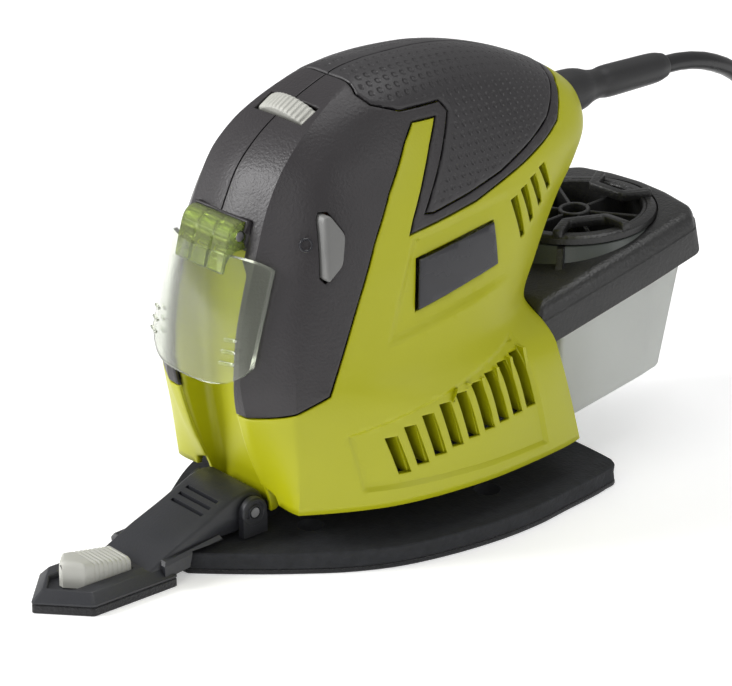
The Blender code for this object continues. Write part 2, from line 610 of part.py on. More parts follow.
# ------------------------------------------------------------------ drive
def drive():
    """Motor, fan, eccentric and bearings on the vertical motor axis."""
    shaft = turned([(0, 23.9), (4, 23.9), (4, 53), (11, 54), (12, 57.5), (14, 58), (14, 82),
                    (12, 82.5), (11, 86), (4, 87), (4, 105), (0, 105)])
    part("armature", shaft, IRON)
    part("commutator", pipe(4.3, 8.5, 88, 96.5), COPPER)
    blades = []
    for k in range(9):
        angle = 2 * math.pi * k / 9
        near = Vector((math.cos(angle), math.sin(angle)))
        far = Vector((math.cos(angle + 0.45), math.sin(angle + 0.45)))
        side = Vector((-near.y, near.x)) * 0.7
        corners = [near * 9 + side, far * 26.5 + side, far * 26.5 - side, near * 9 - side]
        blades.append(prism_z([tuple(c) for c in corners], 34.5, 42))
    disc = turned([(4.3, 33), (27, 33), (27, 35), (9.5, 35.5), (9.5, 42.5), (4.3, 42.5)], ring=True)
    part("fan", add(disc, *blades), BLACK)
    weight = rod(12, 24, 31.5)
    sector = [(0, 0)] + [(24 * math.cos(a), 24 * math.sin(a))
                         for a in np.linspace(math.pi * 0.62, math.pi * 1.38, 9)]
    weight = add(weight, prism_z(sector, 25, 31), rod(5.8, 16.4, 26, (ORBIT, 0, 0)))
    weight = cut(weight, rod(4.3, 23.6, 40))
    part("eccentric", weight, STEEL)
    part("pad_screw", rod(7.5, 13, 15.7, (ORBIT, 0, 0), (0, 0, 1), 16), STEEL)
    part("lower_bearing", pipe(4.3, 11, 44.7, 51), STEEL)
    part("upper_bearing", pipe(4.3, 8, 99, 104), STEEL)
    stator = pipe(14.6, 26, 58, 82, segments=32)
    part("stator", stator, IRON)
    part("winding_upper", pipe(15.5, 22.5, 82.3, 86.5), COPPER)
    part("winding_lower", pipe(15.5, 22.5, 53, 57.7), COPPER)
    for name, sign in (("left", -1), ("right", 1)):
        near, far = sorted((sign * 10, sign * 24))
        holder = block((near, -4, 88.5), (far, 4, 96.5))
        holder = cut(holder, block((near - 2, -2.8, 89.7), (far + 2, 2.8, 95.3)))
        part("brush_holder_" + name, holder, BRASS)
        near, far = sorted((sign * 8.9, sign * 21))
        part("brush_" + name, block((near, -2.5, 90), (far, 2.5, 95)), CARBON)


def mounts_and_screws():
    """Flexible posts, housing screws, cord clamp and dust duct."""
    for name, (x, y) in POSTS.items():
        post = turned([(0, PLATE_TOP + 0.4), (POST_R + 1, PLATE_TOP + 0.4), (POST_R + 1, 18),
                       (POST_R - 1, 20), (POST_R - 1, 40), (POST_R + 1, 42), (POST_R + 1, 44.7),
                       (0, 44.7)], (x, y, 0), (0, 0, 1), 12)
        part("post_" + name, post, RUBBER)
    for index, (y, z) in enumerate(HOUSING_SCREWS, 1):
        screw = turned([(0, 11), (1.6, 11), (1.6, -22.3), (3.6, -22.3), (3.6, -25), (0, -25)],
                       (0, y, z), (1, 0, 0), 8)
        part(f"housing_screw_{index}", screw, STEEL)
    clamp = block((-9, 66, 117.5), (9, 73, 120.5))
    part("cord_clamp", clamp, BLACK, bevel=0.4)
    part("dust_duct", pipe(6.4, 8.0, 40, 62.4, (0, 0, DUCT_Z), (0, 1, 0), 20), BLACK)


# ------------------------------------------------------------------ dust box
def tilt(y, height=0.0):
    """Height of the lid's plane at y."""
    return BOX_LEVEL + BOX_SLOPE * (y - BOX_REF) + height


def on_turret(x, along, height):
    """A point in the turret's own frame: across, along it from its centre, and above it."""
    run = math.hypot(1, TURRET_SLOPE)
    return (x, TURRET_Y + (along - TURRET_SLOPE * height) / run,
            TURRET_BASE + (TURRET_SLOPE * along + height) / run)


BIN_HALF = [(0, 63.8), (30, 63.8), (30.3, 107), (29.8, 117), (27, 120), (14, 121.8), (0, 122.4)]
LID_HALF = [(0, 55), (29.5, 55), (30, 100), (29.5, 120), (24.5, 124.4), (12, 126.8), (0, 127.6)]
# Each wing is a three-sided bow: (towards the rim, sideways) from the turret's centre.
WING = [(22.6, -13), (13.6, -7.4), (13.6, 7.4), (22.6, 13), (24.2, 9.8), (16.4, 5.4),
        (16.4, -5.4), (24.2, -9.8)]


def inclined(outline, lift_low, lift_high, grow_low=0.0, grow_high=0.0):
    """A slab between two surfaces parallel to the lid's plane."""
    low, high = offset_outline(outline, grow_low), offset_outline(outline, grow_high)
    return loft([[(x, y, tilt(y, lift)) for x, y in ring]
                 for ring, lift in ((low, lift_low), (high, lift_high))])


def dust_box():
    """Translucent bin, dark lid, turning filter cap and the filter inside."""
    outline = mirrored_outline(BIN_HALF)

    def bin_shape(inset, low, lift):
        rings = []
        for rise, more, squeeze in ((0, 3.0, 0.85), (4, 1.5, 0.88)):
            rings.append([(x, 63.8 + (y - 63.8) * squeeze, low + rise + 0.15 * (y - 64))
                          for x, y in offset_outline(outline, -inset - more)])
        rings.append([(x, y, tilt(y, lift)) for x, y in offset_outline(outline, -inset)])
        return loft(rings)

    box = cut(bin_shape(0, 16.2, -10), bin_shape(1.8, 18.0, 5))
    box = cut(box, rod(8.8, 60, 70, (0, 0, DUCT_Z), (0, 1, 0), 20))
    part("dust_bin", box, BIN)

    centre, up = (0, TURRET_Y, TURRET_BASE), (0, -TURRET_SLOPE, 1)
    rim = mirrored_outline(LID_HALF)
    lid = inclined(rim, -4, 0, 1.6, 0)
    lid = add(lid, inclined(rim, -13.5, -3.5, 3.6, 1.9))
    cone = turned([(0, -3.6), (TURRET_R + 5.8, -3.6), (TURRET_R, 6), (0, 6)], centre, up, 32)
    lid = add(lid, keep(cone, prism_z(offset_outline(rim, -0.4), 40, 90)))
    for sign in (-1, 1):
        foot = [(sign * 22.2, 67.4), (sign * 25, 67.4), (sign * 22, 76), (sign * 19.2, 76)]
        lid = add(lid, prism_z(foot, 60.6, 70.2))
    lid = cut(lid, inclined(outline, -20, -9.7, 0.4, 0.4), inclined(outline, -30, -2.5, -2.5, -2.5))
    lid = cut(lid, rod(TURRET_R - 2.2, -20, 7, centre, up, 32),
              rod(TURRET_R + 1.1, 6.1, 20, centre, up, 32))
    lid = cut(lid, body_solid(-0.6), block((-60, 30, 20), (60, 62.4, 58)),
              prism_y([(-44, 0), (44, 0), (44, 52), (-44, 52)], 50, 65))
    part("dust_lid", lid, BLACK)

    cap = pipe(TURRET_R - 2.6, TURRET_R + 0.6, 6.3, 9.3, centre, up, 32)
    cap = add(cap, pipe(TURRET_R - 4.6, TURRET_R - 2.5, -1, 9, centre, up, 32))
    cap = add(cap, pipe(3.4, 5.4, 4.6, 8.4, centre, up, 16))
    for k in range(6):
        angle = math.pi * (k / 3 + 1 / 6)
        direction = Vector((math.cos(angle), math.sin(angle)))
        across = Vector((-direction.y, direction.x)) * 0.8
        reach = TURRET_R - 3.5
        corners = [direction * 4.6 + across, direction * reach + across,
                   direction * reach - across, direction * 4.6 - across]
        cap = add(cap, loft([[on_turret(c.x, c.y, lift) for c in corners] for lift in (4.9, 8.2)]))
    for angle in (-math.pi / 6, math.pi / 2, math.pi * 7 / 6):
        out = Vector((math.cos(angle), math.sin(angle)))
        side = Vector((-out.y, out.x))
        corners = [out * a + side * b for a, b in WING]
        cap = add(cap, loft([[on_turret(c.x, c.y, lift) for c in corners] for lift in (8.8, 11.4)]))
    part("filter_cap", cap, BLACK, pivot=centre)
    part("filter_element", pipe(8, 17, -9, -1.6, centre, up, 20), PAPER)


# ------------------------------------------------------------------ cord
CORD_ROUTE = [(0, 136.5, 113.0), (0, 145, 112.6), (0, 155, 110.6), (-1, 168, 105.2),
              (-4, 182, 95.5), (-9, 194, 82.5), (-16, 204, 67), (-24, 212, 50), (-32, 219.5, 33),
              (-38, 227, 18), (-41, 235.5, 7.6), (-42, 243.5, 4.0), (-42, 249.2, 3.3)]
TAIL_ROUTE = [(42, 249.2, 15.0), (43, 244, 14.4), (43.9, 240.5, 13.5), (44, 237.4, 13.4)]


def tube(name, route, spacing, radius):
    """A cord run as a bevelled curve whose points are evenly spaced on a smooth route."""
    route = np.array(route, float)
    ends = [2 * route[0] - route[1]], [2 * route[-1] - route[-2]]
    fine = catmull_rom(np.vstack([ends[0], route, ends[1]]), 12)
    along = np.concatenate([[0], np.cumsum(np.linalg.norm(np.diff(fine, axis=0), axis=1))])
    marks = np.linspace(0, along[-1], max(3, int(along[-1] / spacing) + 1))
    points = np.column_stack([np.interp(marks, along, fine[:, axis]) for axis in range(3)])
    curve = bpy.data.curves.new(name, "CURVE")
    curve.dimensions = "3D"
    curve.bevel_depth = radius * MM
    curve.bevel_resolution = 2
    curve.use_fill_caps = True
    spline = curve.splines.new("POLY")
    spline.points.add(len(points) - 1)
    for spot, point in zip(spline.points, points):
        spot.co = (*(point * MM), 1.0)
    curve.materials.append(CABLE)
    obj = bpy.data.objects.new(name, curve)
    bpy.context.collection.objects.link(obj)


def cord():
    """Strain relief, the free cord, its coil and the plug."""
    boot = turned([(0, 80), (7, 80), (7.2, 92.5), (6.6, 97), (5.5, 103), (5.2, 110), (4.9, 131),
                   (4.0, 134.6), (3.4, 136), (0, 136)], (0, 0, BOOT_Z), (0, 1, 0), 20)
    part("cord_boot", boot, RUBBER)
    tube("cord", CORD_ROUTE, 2.2 * CORD_D, CORD_D / 2)
    middle, half = (COIL_INNER + COIL_OUTER) / 2, (COIL_OUTER - COIL_INNER) / 2
    profile = [(middle - half, 3), (middle - half + 2, 0.4), (middle + half - 2, 0.4),
               (middle + half, 3), (middle + half, COIL_TOP - 3), (middle + half - 2.5, COIL_TOP),
               (middle - half + 2.5, COIL_TOP), (middle - half, COIL_TOP - 3)]
    part("cord_coil", turned(profile, (*COIL_CENTRE, 0), (0, 0, 1), 24, ring=True), CABLE)
    tube("cord_tail", TAIL_ROUTE, 2.2 * CORD_D, CORD_D / 2)
    sections = [(236.6, 4.6, 4.6), (226, 6, 6), (217, 12, 9), (203, 17.5, 13), (191, 17.5, 13)]
    rings = []
    for y, wide, tall in sections:
        rings.append([(44 + wide * math.cos(a), y, 13.4 + tall * math.sin(a))
                      for a in np.linspace(0, 2 * math.pi, 20, endpoint=False)])
    part("plug", loft(rings), RUBBER)
    for name, shift in (("left", -9.5), ("right", 9.5)):
        pin = rod(2.4, 171.5, 190.7, (44 + shift, 0, 13.4), (0, 1, 0), 12)
        part("plug_pin_" + name, pin, BRASS)


housing()
covers()
guard()
switch()
dial()
pad()
finger()
drive()
mounts_and_screws()
dust_box()
cord()
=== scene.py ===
"""Looks of the corded delta sander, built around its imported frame.

Lengths are written in millimetres in the frame's own axes (origin at the motor axis on the
sole, -Y to the nose, +Z up); finish_mesh() scales every piece to metres once.
"""
import math

import bmesh
import bpy
import numpy as np
from mathutils import Matrix, Vector


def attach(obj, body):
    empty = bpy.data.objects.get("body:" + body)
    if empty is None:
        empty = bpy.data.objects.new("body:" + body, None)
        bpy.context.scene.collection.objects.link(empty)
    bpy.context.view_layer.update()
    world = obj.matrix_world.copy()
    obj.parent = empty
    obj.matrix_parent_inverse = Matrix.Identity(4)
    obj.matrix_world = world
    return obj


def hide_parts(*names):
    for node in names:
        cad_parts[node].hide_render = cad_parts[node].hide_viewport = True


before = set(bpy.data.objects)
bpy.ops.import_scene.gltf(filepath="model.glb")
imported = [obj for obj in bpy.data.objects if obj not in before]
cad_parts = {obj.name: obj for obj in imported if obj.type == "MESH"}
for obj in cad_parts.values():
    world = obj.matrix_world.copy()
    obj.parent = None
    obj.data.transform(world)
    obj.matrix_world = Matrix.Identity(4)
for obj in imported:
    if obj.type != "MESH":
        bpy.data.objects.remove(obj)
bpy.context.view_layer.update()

MM = 0.001
CORD_D = 6.0
COIL_CENTRE = (0.0, 272.0)
BOOT_Z = 113.0
HINGE_Y, HINGE_Z = -45.0, 15.0
GUARD_HINGE = (-46.5, 101.5)
SWITCH_Y, SWITCH_Z = -29.0, 99.5
DIAL_CENTRE = Vector((0.0, -13.8, 120.9))
DIAL_TILT = math.radians(31.0)
DIAL_R = 16.0
BOX_SLOPE = 0.22
TURRET_Y, TURRET_R = 98.0, 25.7
TURRET_BASE, TURRET_SLOPE = 64.8, 0.06
ORBIT = 0.9

# Half sections of the body: level z, then (x, y) from the front centre line round the +X side
# to the rear centre line.
BODY_SECTIONS = [
    (18.0, [(0, -41), (14.5, -40), (29, -40.5), (42, -15), (46.8, 14),
            (46, 40), (42.8, 60.5), (25, 62.5), (0, 63)]),
    (34.0, [(0, -47.5), (17, -46.8), (31, -41.5), (43.3, -16), (47.8, 14),
            (46.7, 36), (43.2, 55.5), (25, 60), (0, 60.5)]),
    (48.0, [(0, -51.6), (18.4, -51), (32, -43.2), (43.2, -17), (47.3, 12),
            (45.8, 32), (43, 51), (25, 58), (0, 58.5)]),
    (55.0, [(0, -53), (18, -52.3), (32, -43.5), (42, -18), (44.5, 11),
            (43, 32), (38.5, 51), (22, 58), (0, 58.5)]),
    (62.0, [(0, -53.3), (17.3, -52.5), (31.5, -43), (39.5, -18), (41, 10),
            (37, 32), (28, 49.5), (16, 58), (0, 60)]),
    (75.0, [(0, -52.2), (17, -51.3), (30.5, -40.5), (37, -16), (38.2, 10),
            (35, 36), (26.5, 55), (15, 64), (0, 66)]),
    (90.0, [(0, -49), (17, -47.5), (29.5, -36), (35, -14), (36.3, 12),
            (33.5, 44), (25.5, 63), (15, 73), (0, 76)]),
    (101.0, [(0, -46.5), (16.5, -44), (28.3, -32), (33, -11), (34.2, 14),
             (32, 49), (24.5, 71), (14, 82), (0, 85)]),
    (110.0, [(0, -43), (16, -40.5), (26.5, -28.5), (31, -8), (32, 16),
             (30, 52), (23, 76), (12, 87), (0, 90.5)]),
    (119.0, [(0, -38), (15.8, -35.5), (24, -24), (28, -4), (29, 18),
             (27, 50), (20, 74), (11, 84.5), (0, 88)]),
    (127.0, [(0, -29.5), (14.8, -27.5), (20.8, -16), (24.3, 2), (25.3, 20),
             (23, 47), (17, 65), (9, 74), (0, 77)]),
    (133.0, [(0, -19.5), (12.8, -18), (17.8, -8), (20.8, 6), (21.5, 21),
             (19.5, 41), (14, 55), (7.5, 62), (0, 64)]),
    (137.5, [(0, -9.5), (10.5, -8.5), (14, 0), (16, 9), (16.5, 21),
             (14.5, 35), (10.5, 44), (5.5, 49), (0, 50.5)]),
    (140.2, [(0, -1), (7, -0.5), (9.3, 6), (10.5, 13), (10.5, 21),
             (9, 30), (6.5, 35), (3.5, 38), (0, 38.5)]),
    (141.3, [(0, 8), (3, 8), (4, 12), (4.5, 16), (4.5, 20),
             (4, 24), (3, 26), (1.5, 27.5), (0, 28)]),
]

# Side outlines (y, z) of the pieces that share the body surface.
BLACK_AREA = [
    (-70, 45.5), (-51, 48.4), (-34.2, 56.4), (-21.9, 83), (-14.9, 97.7), (-7.1, 111), (2.1, 123),
    (6.9, 127.8), (15.2, 127.8), (10.4, 121), (6.4, 114.3), (-0.6, 102), (-2.5, 98), (10.9, 99.9),
    (24.3, 102), (45.1, 108.2), (57.2, 112.6), (65, 116), (69.5, 120.8), (73, 124.3), (96, 129),
    (96, 160), (-70, 160),
]
GRIP_AREA = [
    (-5, 160), (-4.9, 139.3), (-5.8, 136.4), (-3.8, 133.9), (4.2, 131.3), (18.6, 131.5),
    (20.5, 128.5), (12.3, 115.2), (4, 102.9), (7, 102.4), (21.8, 104.9), (35.5, 108.2), (49, 113.3),
    (60, 118), (66.5, 122.9), (72, 127.2), (94, 131.5), (94, 160),
]
LABEL_AREA = [(-0.5, 90.5), (30.5, 94.5), (31.5, 81), (-2.5, 75.5)]
SOLE_HALF = [(0, -67), (9, -66.7), (21.5, -53.2), (30.8, -41.8), (39.4, -29.8), (46.1, -16.1),
             (50.3, 0), (52.6, 18), (52.6, 34), (50.8, 48), (48.3, 66), (43, 75), (0, 76.5)]
DUST_HOLES = [(0, -31), (-17, -27), (17, -27), (-33, 30), (33, 30), (0, 56)]
BLACK_SCREW = (-33, 68)
HOUSING_SCREWS = [(-32, 27), (32, 26.5), (43, 64), BLACK_SCREW, (61, 100)]
SIDE_VENTS, REAR_VENTS = 9, 4
CAMERA_PLACE = (0.65020, -0.54494, 0.40608)
CAMERA_AIM = (0.01829, -0.005575, 0.060)
CAMERA_LENS = 149.15


# ------------------------------------------------------------------ small tools
def link(name, mesh):
    obj = bpy.data.objects.new(name, mesh)
    bpy.context.collection.objects.link(obj)
    return obj


def finish_mesh(name, bm, mat, body, replaced=(), sharp=35.0, bevel=0.0, thick=0.0):
    """Scale a bmesh to metres and hand it over as a finished piece that rides on a body."""
    mesh = bpy.data.meshes.new(name)
    bm.to_mesh(mesh)
    bm.free()
    mesh.transform(Matrix.Scale(MM, 4))
    mesh.materials.append(mat)
    mesh.shade_smooth()
    mesh.set_sharp_from_angle(angle=math.radians(sharp))
    obj = link(name, mesh)
    if thick:
        shell = obj.modifiers.new("wall", "SOLIDIFY")
        shell.thickness = thick * MM
        shell.offset = -1.0
        shell.use_rim = True
    if bevel:
        edge = obj.modifiers.new("edges", "BEVEL")
        edge.width = bevel * MM
        edge.segments = 2
        edge.limit_method = "ANGLE"
        edge.angle_limit = math.radians(35)
        edge.harden_normals = False
    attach(obj, body)
    if replaced:
        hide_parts(*replaced)
    return obj


def skin(bm, rows):
    """Faces between neighbouring rows of points."""
    for low, high in zip(rows, rows[1:]):
        for k in range(len(low) - 1):
            bm.faces.new((low[k], low[k + 1], high[k + 1], high[k]))


def catmull_rom(points, steps):
    """Points on a smooth curve through all the given points except the first and last."""
    p = np.asarray(points, float)
    curve = []
    for i in range(1, len(p) - 2):
        for t in np.arange(steps) / steps:
            curve.append(0.5 * (2 * p[i] + (p[i + 1] - p[i - 1]) * t
                                + (2 * p[i - 1] - 5 * p[i] + 4 * p[i + 1] - p[i + 2]) * t ** 2
                                + (3 * p[i] - p[i - 1] - 3 * p[i + 1] + p[i + 2]) * t ** 3))
    curve.append(p[-2])
    return np.array(curve)


def smooth_route(route, spacing):
    """Evenly spaced points on a smooth curve through a route."""
    route = np.array(route, float)
    fine = catmull_rom(np.vstack([2 * route[0] - route[1], route, 2 * route[-1] - route[-2]]), 12)
    along = np.concatenate([[0], np.cumsum(np.linalg.norm(np.diff(fine, axis=0), axis=1))])
    marks = np.linspace(0, along[-1], max(3, int(along[-1] / spacing) + 1))
    return np.column_stack([np.interp(marks, along, fine[:, axis]) for axis in range(3)])


def path_length(points):
    return float(np.linalg.norm(np.diff(np.asarray(points), axis=0), axis=1).sum())


# ------------------------------------------------------------------ materials
class Shader:
    """A Principled material and short ways to wire procedural detail into it."""

    def __init__(self, name, colour, roughness, metallic=0.0):
        self.mat = bpy.data.materials.new(name)
        self.mat.use_nodes = True
        self.nodes = self.mat.node_tree.nodes
        self.links = self.mat.node_tree.links
        self.bsdf = self.nodes["Principled BSDF"]
        self.bsdf.inputs["Base Color"].default_value = (*colour, 1.0)
        self.bsdf.inputs["Roughness"].default_value = roughness
        self.bsdf.inputs["Metallic"].default_value = metallic
        self.colour = colour
        self.roughness = roughness
        self.place = self.nodes.new("ShaderNodeTexCoord").outputs["Object"]
        self.normal = None

    def noise(self, scale, detail=3.0, stretch=None):
        """Noise whose features are about 1000 / scale millimetres across."""
        node = self.nodes.new("ShaderNodeTexNoise")
        node.inputs["Scale"].default_value = scale
        node.inputs["Detail"].default_value = detail
        place = self.place
        if stretch:
            mapping = self.nodes.new("ShaderNodeMapping")
            mapping.inputs["Scale"].default_value = stretch
            self.links.new(place, mapping.inputs["Vector"])
            place = mapping.outputs["Vector"]
        self.links.new(place, node.inputs["Vector"])
        return node.outputs["Fac"]

    def ramp(self, value, low, high, out_low, out_high):
        node = self.nodes.new("ShaderNodeMapRange")
        for socket, number in zip(("From Min", "From Max", "To Min", "To Max"),
                                  (low, high, out_low, out_high)):
            node.inputs[socket].default_value = number
        self.links.new(value, node.inputs["Value"])
        return node.outputs["Result"]

    def mottle(self, scale, amount, factor=None):
        """Vary the colour between a darker and a lighter shade of itself."""
        factor = factor or self.ramp(self.noise(scale), 0.3, 0.7, 0.0, 1.0)
        mix = self.nodes.new("ShaderNodeMix")
        mix.data_type = "RGBA"
        mix.inputs["A"].default_value = (*[c * (1 - amount) for c in self.colour], 1.0)
        mix.inputs["B"].default_value = (*[min(1.0, c * (1 + amount)) for c in self.colour], 1.0)
        self.links.new(factor, mix.inputs["Factor"])
        self.links.new(mix.outputs["Result"], self.bsdf.inputs["Base Color"])

    def uneven_gloss(self, scale, spread):
        value = self.ramp(self.noise(scale, 4.0), 0.3, 0.7,
                          self.roughness - spread, self.roughness + spread)
        self.links.new(value, self.bsdf.inputs["Roughness"])

    def bump(self, height, distance, strength=1.0):
        """Add a height field, its full swing `distance` millimetres deep."""
        node = self.nodes.new("ShaderNodeBump")
        node.inputs["Strength"].default_value = strength
        node.inputs["Distance"].default_value = distance * MM
        self.links.new(height, node.inputs["Height"])
        if self.normal:
            self.links.new(self.normal, node.inputs["Normal"])
        self.normal = node.outputs["Normal"]
        self.links.new(self.normal, self.bsdf.inputs["Normal"])

    def maths(self, operation, a, b=0.0):
        node = self.nodes.new("ShaderNodeMath")
        node.operation = operation
        for socket, value in zip(node.inputs, (a, b)):
            if isinstance(value, (int, float)):
                socket.default_value = value
            else:
                self.links.new(value, socket)
        return node.outputs["Value"]


def plastic(name, colour, roughness, grain, depth, amount=0.05):
    """Moulded plastic: spark-eroded grain, slight shade changes and uneven gloss."""
    s = Shader(name, colour, roughness)
    s.mottle(35, amount)
    s.uneven_gloss(60, 0.05)
    s.bump(s.noise(grain, 2.0), depth)
    return s.mat


def metal(name, colour, roughness, stretch=(1, 1, 1)):
    s = Shader(name, colour, roughness, 1.0)
    s.mottle(80, 0.12)
    s.uneven_gloss(250, 0.08)
    s.bump(s.noise(900, 2.0, stretch), 0.03)
    return s.mat


def grip_material():
    """Soft grip: rows of dimples that fade out before the edge of the piece."""
    s = Shader("grip_rubber", (0.028, 0.026, 0.028), 0.45)
    s.mottle(45, 0.1)
    weave = s.nodes.new("ShaderNodeAttribute")
    weave.attribute_name = "weave"
    split = s.nodes.new("ShaderNodeSeparateXYZ")
    s.links.new(weave.outputs["Vector"], split.inputs["Vector"])
    across, along, edge = split.outputs
    pitch = 2.7
    turn = 2 * math.pi / pitch
    waves = []
    for a, b in ((1.0, 0.0), (0.5, 0.866), (0.5, -0.866)):
        phase = s.maths("ADD", s.maths("MULTIPLY", across, a * turn),
                        s.maths("MULTIPLY", along, b * turn))
        waves.append(s.maths("COSINE", phase))
    dots = s.maths("ADD", s.maths("ADD", waves[0], waves[1]), waves[2])
    fade = s.ramp(edge, 1.6, 3.0, 0.0, 1.0)
    pits = s.maths("MULTIPLY", s.ramp(dots, 0.2, 2.2, 0.0, -1.0), fade)
    s.uneven_gloss(70, 0.06)
    s.bump(s.noise(1500, 2.0), 0.06)
    s.bump(pits, 0.5)
    return s.mat


def clear_material(name, colour, roughness, transmission, grain_depth):
    s = Shader(name, colour, roughness)
    s.bsdf.inputs["Transmission Weight"].default_value = transmission
    s.bsdf.inputs["IOR"].default_value = 1.49
    s.mottle(30, 0.03)
    s.bump(s.noise(500, 2.0), grain_depth)
    return s.mat


def foam_material():
    s = Shader("foam", (0.014, 0.015, 0.018), 0.85)
    s.mottle(300, 0.25)
    s.bump(s.noise(900, 2.0), 0.2)
    return s.mat


def hook_material():
    s = Shader("hook", (0.012, 0.012, 0.014), 0.9)
    s.bsdf.inputs["Sheen Weight"].default_value = 0.3
    s.mottle(1200, 0.5)
    s.bump(s.noise(1600, 2.0), 0.3)
    return s.mat


def winding_material():
    s = Shader("winding", (0.6, 0.25, 0.1), 0.35, 1.0)
    s.mottle(200, 0.15)
    s.bump(s.noise(900, 1.0, (0.2, 0.2, 3.0)), 0.2)
    return s.mat


LIME = plastic("lime_plastic", (0.40, 0.405, 0.0005), 0.4, 1400, 0.03, 0.03)
BLACK = plastic("black_plastic", (0.026, 0.023, 0.025), 0.42, 1150, 0.14, 0.08)
GRIP = grip_material()
PLATE = plastic("plate_plastic", (0.020, 0.021, 0.025), 0.42, 1300, 0.06, 0.1)
FOAM = foam_material()
HOOK = hook_material()
GREY = plastic("grey_plastic", (0.17, 0.17, 0.165), 0.45, 1300, 0.03, 0.04)
PALE = plastic("pale_plastic", (0.46, 0.46, 0.42), 0.4, 1300, 0.02, 0.03)
LID = plastic("lid_plastic", (0.020, 0.020, 0.020), 0.36, 900, 0.22, 0.15)
TURRET = plastic("turret_plastic", (0.075, 0.085, 0.078), 0.35, 1400, 0.04, 0.08)
LABEL = plastic("label", (0.02, 0.02, 0.024), 0.25, 2500, 0.01, 0.1)
CLEAR = clear_material("clear_plastic", (0.93, 0.97, 0.84), 0.12, 0.97, 0.01)
# Clear hinge plastic: its green colour is a painted reflection of the lime housing behind it.
LIME_REFLECTION_CLEAR = clear_material("clear_plastic_painted_lime_reflection", (0.80, 0.90, 0.42), 0.14, 0.9, 0.02)
BIN = clear_material("bin_plastic", (0.80, 0.82, 0.79), 0.45, 0.55, 0.06)
RUBBER = plastic("rubber", (0.018, 0.018, 0.019), 0.45, 1300, 0.04, 0.15)
CABLE = plastic("cable", (0.013, 0.013, 0.014), 0.3, 900, 0.02, 0.15)
STEEL = metal("steel", (0.55, 0.55, 0.56), 0.3, (1, 1, 6))
IRON = metal("laminations", (0.2, 0.2, 0.21), 0.5, (0.3, 0.3, 12))
BRASS = metal("brass", (0.72, 0.55, 0.24), 0.3)
WINDING = winding_material()
CARBON = plastic("carbon", (0.02, 0.02, 0.02), 0.6, 800, 0.08, 0.2)
BOARD = plastic("board", (0.02, 0.12, 0.05), 0.4, 300, 0.03, 0.2)
PAPER = plastic("filter_paper", (0.72, 0.70, 0.62), 0.9, 700, 0.15, 0.08)


# ------------------------------------------------------------------ camera
def camera():
    data = bpy.data.cameras.new("camera")
    data.sensor_width = 36.0
    data.lens = CAMERA_LENS
    data.clip_start = 0.05
    data.clip_end = 20.0
    cam = bpy.data.objects.new("camera", data)
    bpy.context.collection.objects.link(cam)
    cam.location = CAMERA_PLACE
    aim = Vector(CAMERA_AIM) - cam.location
    cam.rotation_euler = aim.to_track_quat("-Z", "Y").to_euler()
    bpy.context.scene.camera = cam


# ------------------------------------------------------------------ cord
CORD_ROUTE = [(0, 136.5, 113.0), (0, 145, 112.6), (0, 155, 110.6), (-1, 168, 105.2),
              (-4, 182, 95.5), (-9, 194, 82.5), (-16, 204, 67), (-24, 212, 50), (-32, 219.5, 33),
              (-38, 227, 18), (-41, 235.5, 7.6), (-42, 243.5, 4.0), (-42, 249.2, 3.3)]
TAIL_ROUTE = [(42, 249.2, 15.0), (43, 244, 14.4), (43.9, 240.5, 13.5), (44, 237.4, 13.4)]
COIL_TURNS = 8.5
LAYERS = (3.3, 9.25, 15.2)
RADII = (42, 36, 30, 24)


def coil_point(t):
    """The coil's centre line after t turns: four turns in, four turns out above them, half on top."""
    slots = [(r, LAYERS[0]) for r in RADII] + [(r, LAYERS[1]) for r in reversed(RADII)]
    slots += [(RADII[0], LAYERS[2])] * 2
    turn = int(t)
    radius, height = slots[turn]
    next_radius, next_height = slots[min(turn + 1, len(slots) - 1)]
    s = min(max((t - turn - 0.68) / 0.28, 0.0), 1.0)
    if next_height != height:
        height += (next_height - height) * math.sin(s * math.pi / 2)
    else:
        radius += (next_radius - radius) * s * s * (3 - 2 * s)
    angle = math.pi - 2 * math.pi * t
    return (COIL_CENTRE[0] + radius * math.cos(angle), COIL_CENTRE[1] + radius * math.sin(angle),
            height)


def cord():
    """The free cord from the boot through its coil to the plug, on one spline."""
    steps = 40
    turns = [coil_point(k / steps) for k in range(int(COIL_TURNS * steps) + 1)]
    points = np.vstack([smooth_route(CORD_ROUTE, 6.0), [(-42, 260, 3.3)], turns,
                        [(42, 260, 15.2)], smooth_route(TAIL_ROUTE, 3.0)])
    curve = bpy.data.curves.new("cord_run", "CURVE")
    curve.dimensions = "3D"
    curve.bevel_depth = (CORD_D / 2 - 0.03) * MM
    curve.bevel_resolution = 4
    curve.use_fill_caps = True
    spline = curve.splines.new("POLY")
    spline.points.add(len(points) - 1)
    spline.use_smooth = True
    for spot, point in zip(spline.points, points):
        spot.co = (*(point * MM), 1.0)
    curve.materials.append(CABLE)
    obj = bpy.data.objects.new("cord_run", curve)
    bpy.context.collection.objects.link(obj)
    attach(obj, "housing")
    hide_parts("cord", "cord_coil", "cord_tail")
    return obj, path_length(points) * MM, points[0] * MM


# ------------------------------------------------------------------ body shells
ROWS_PER_LEVEL = 7
COLUMNS_PER_SPAN = 11


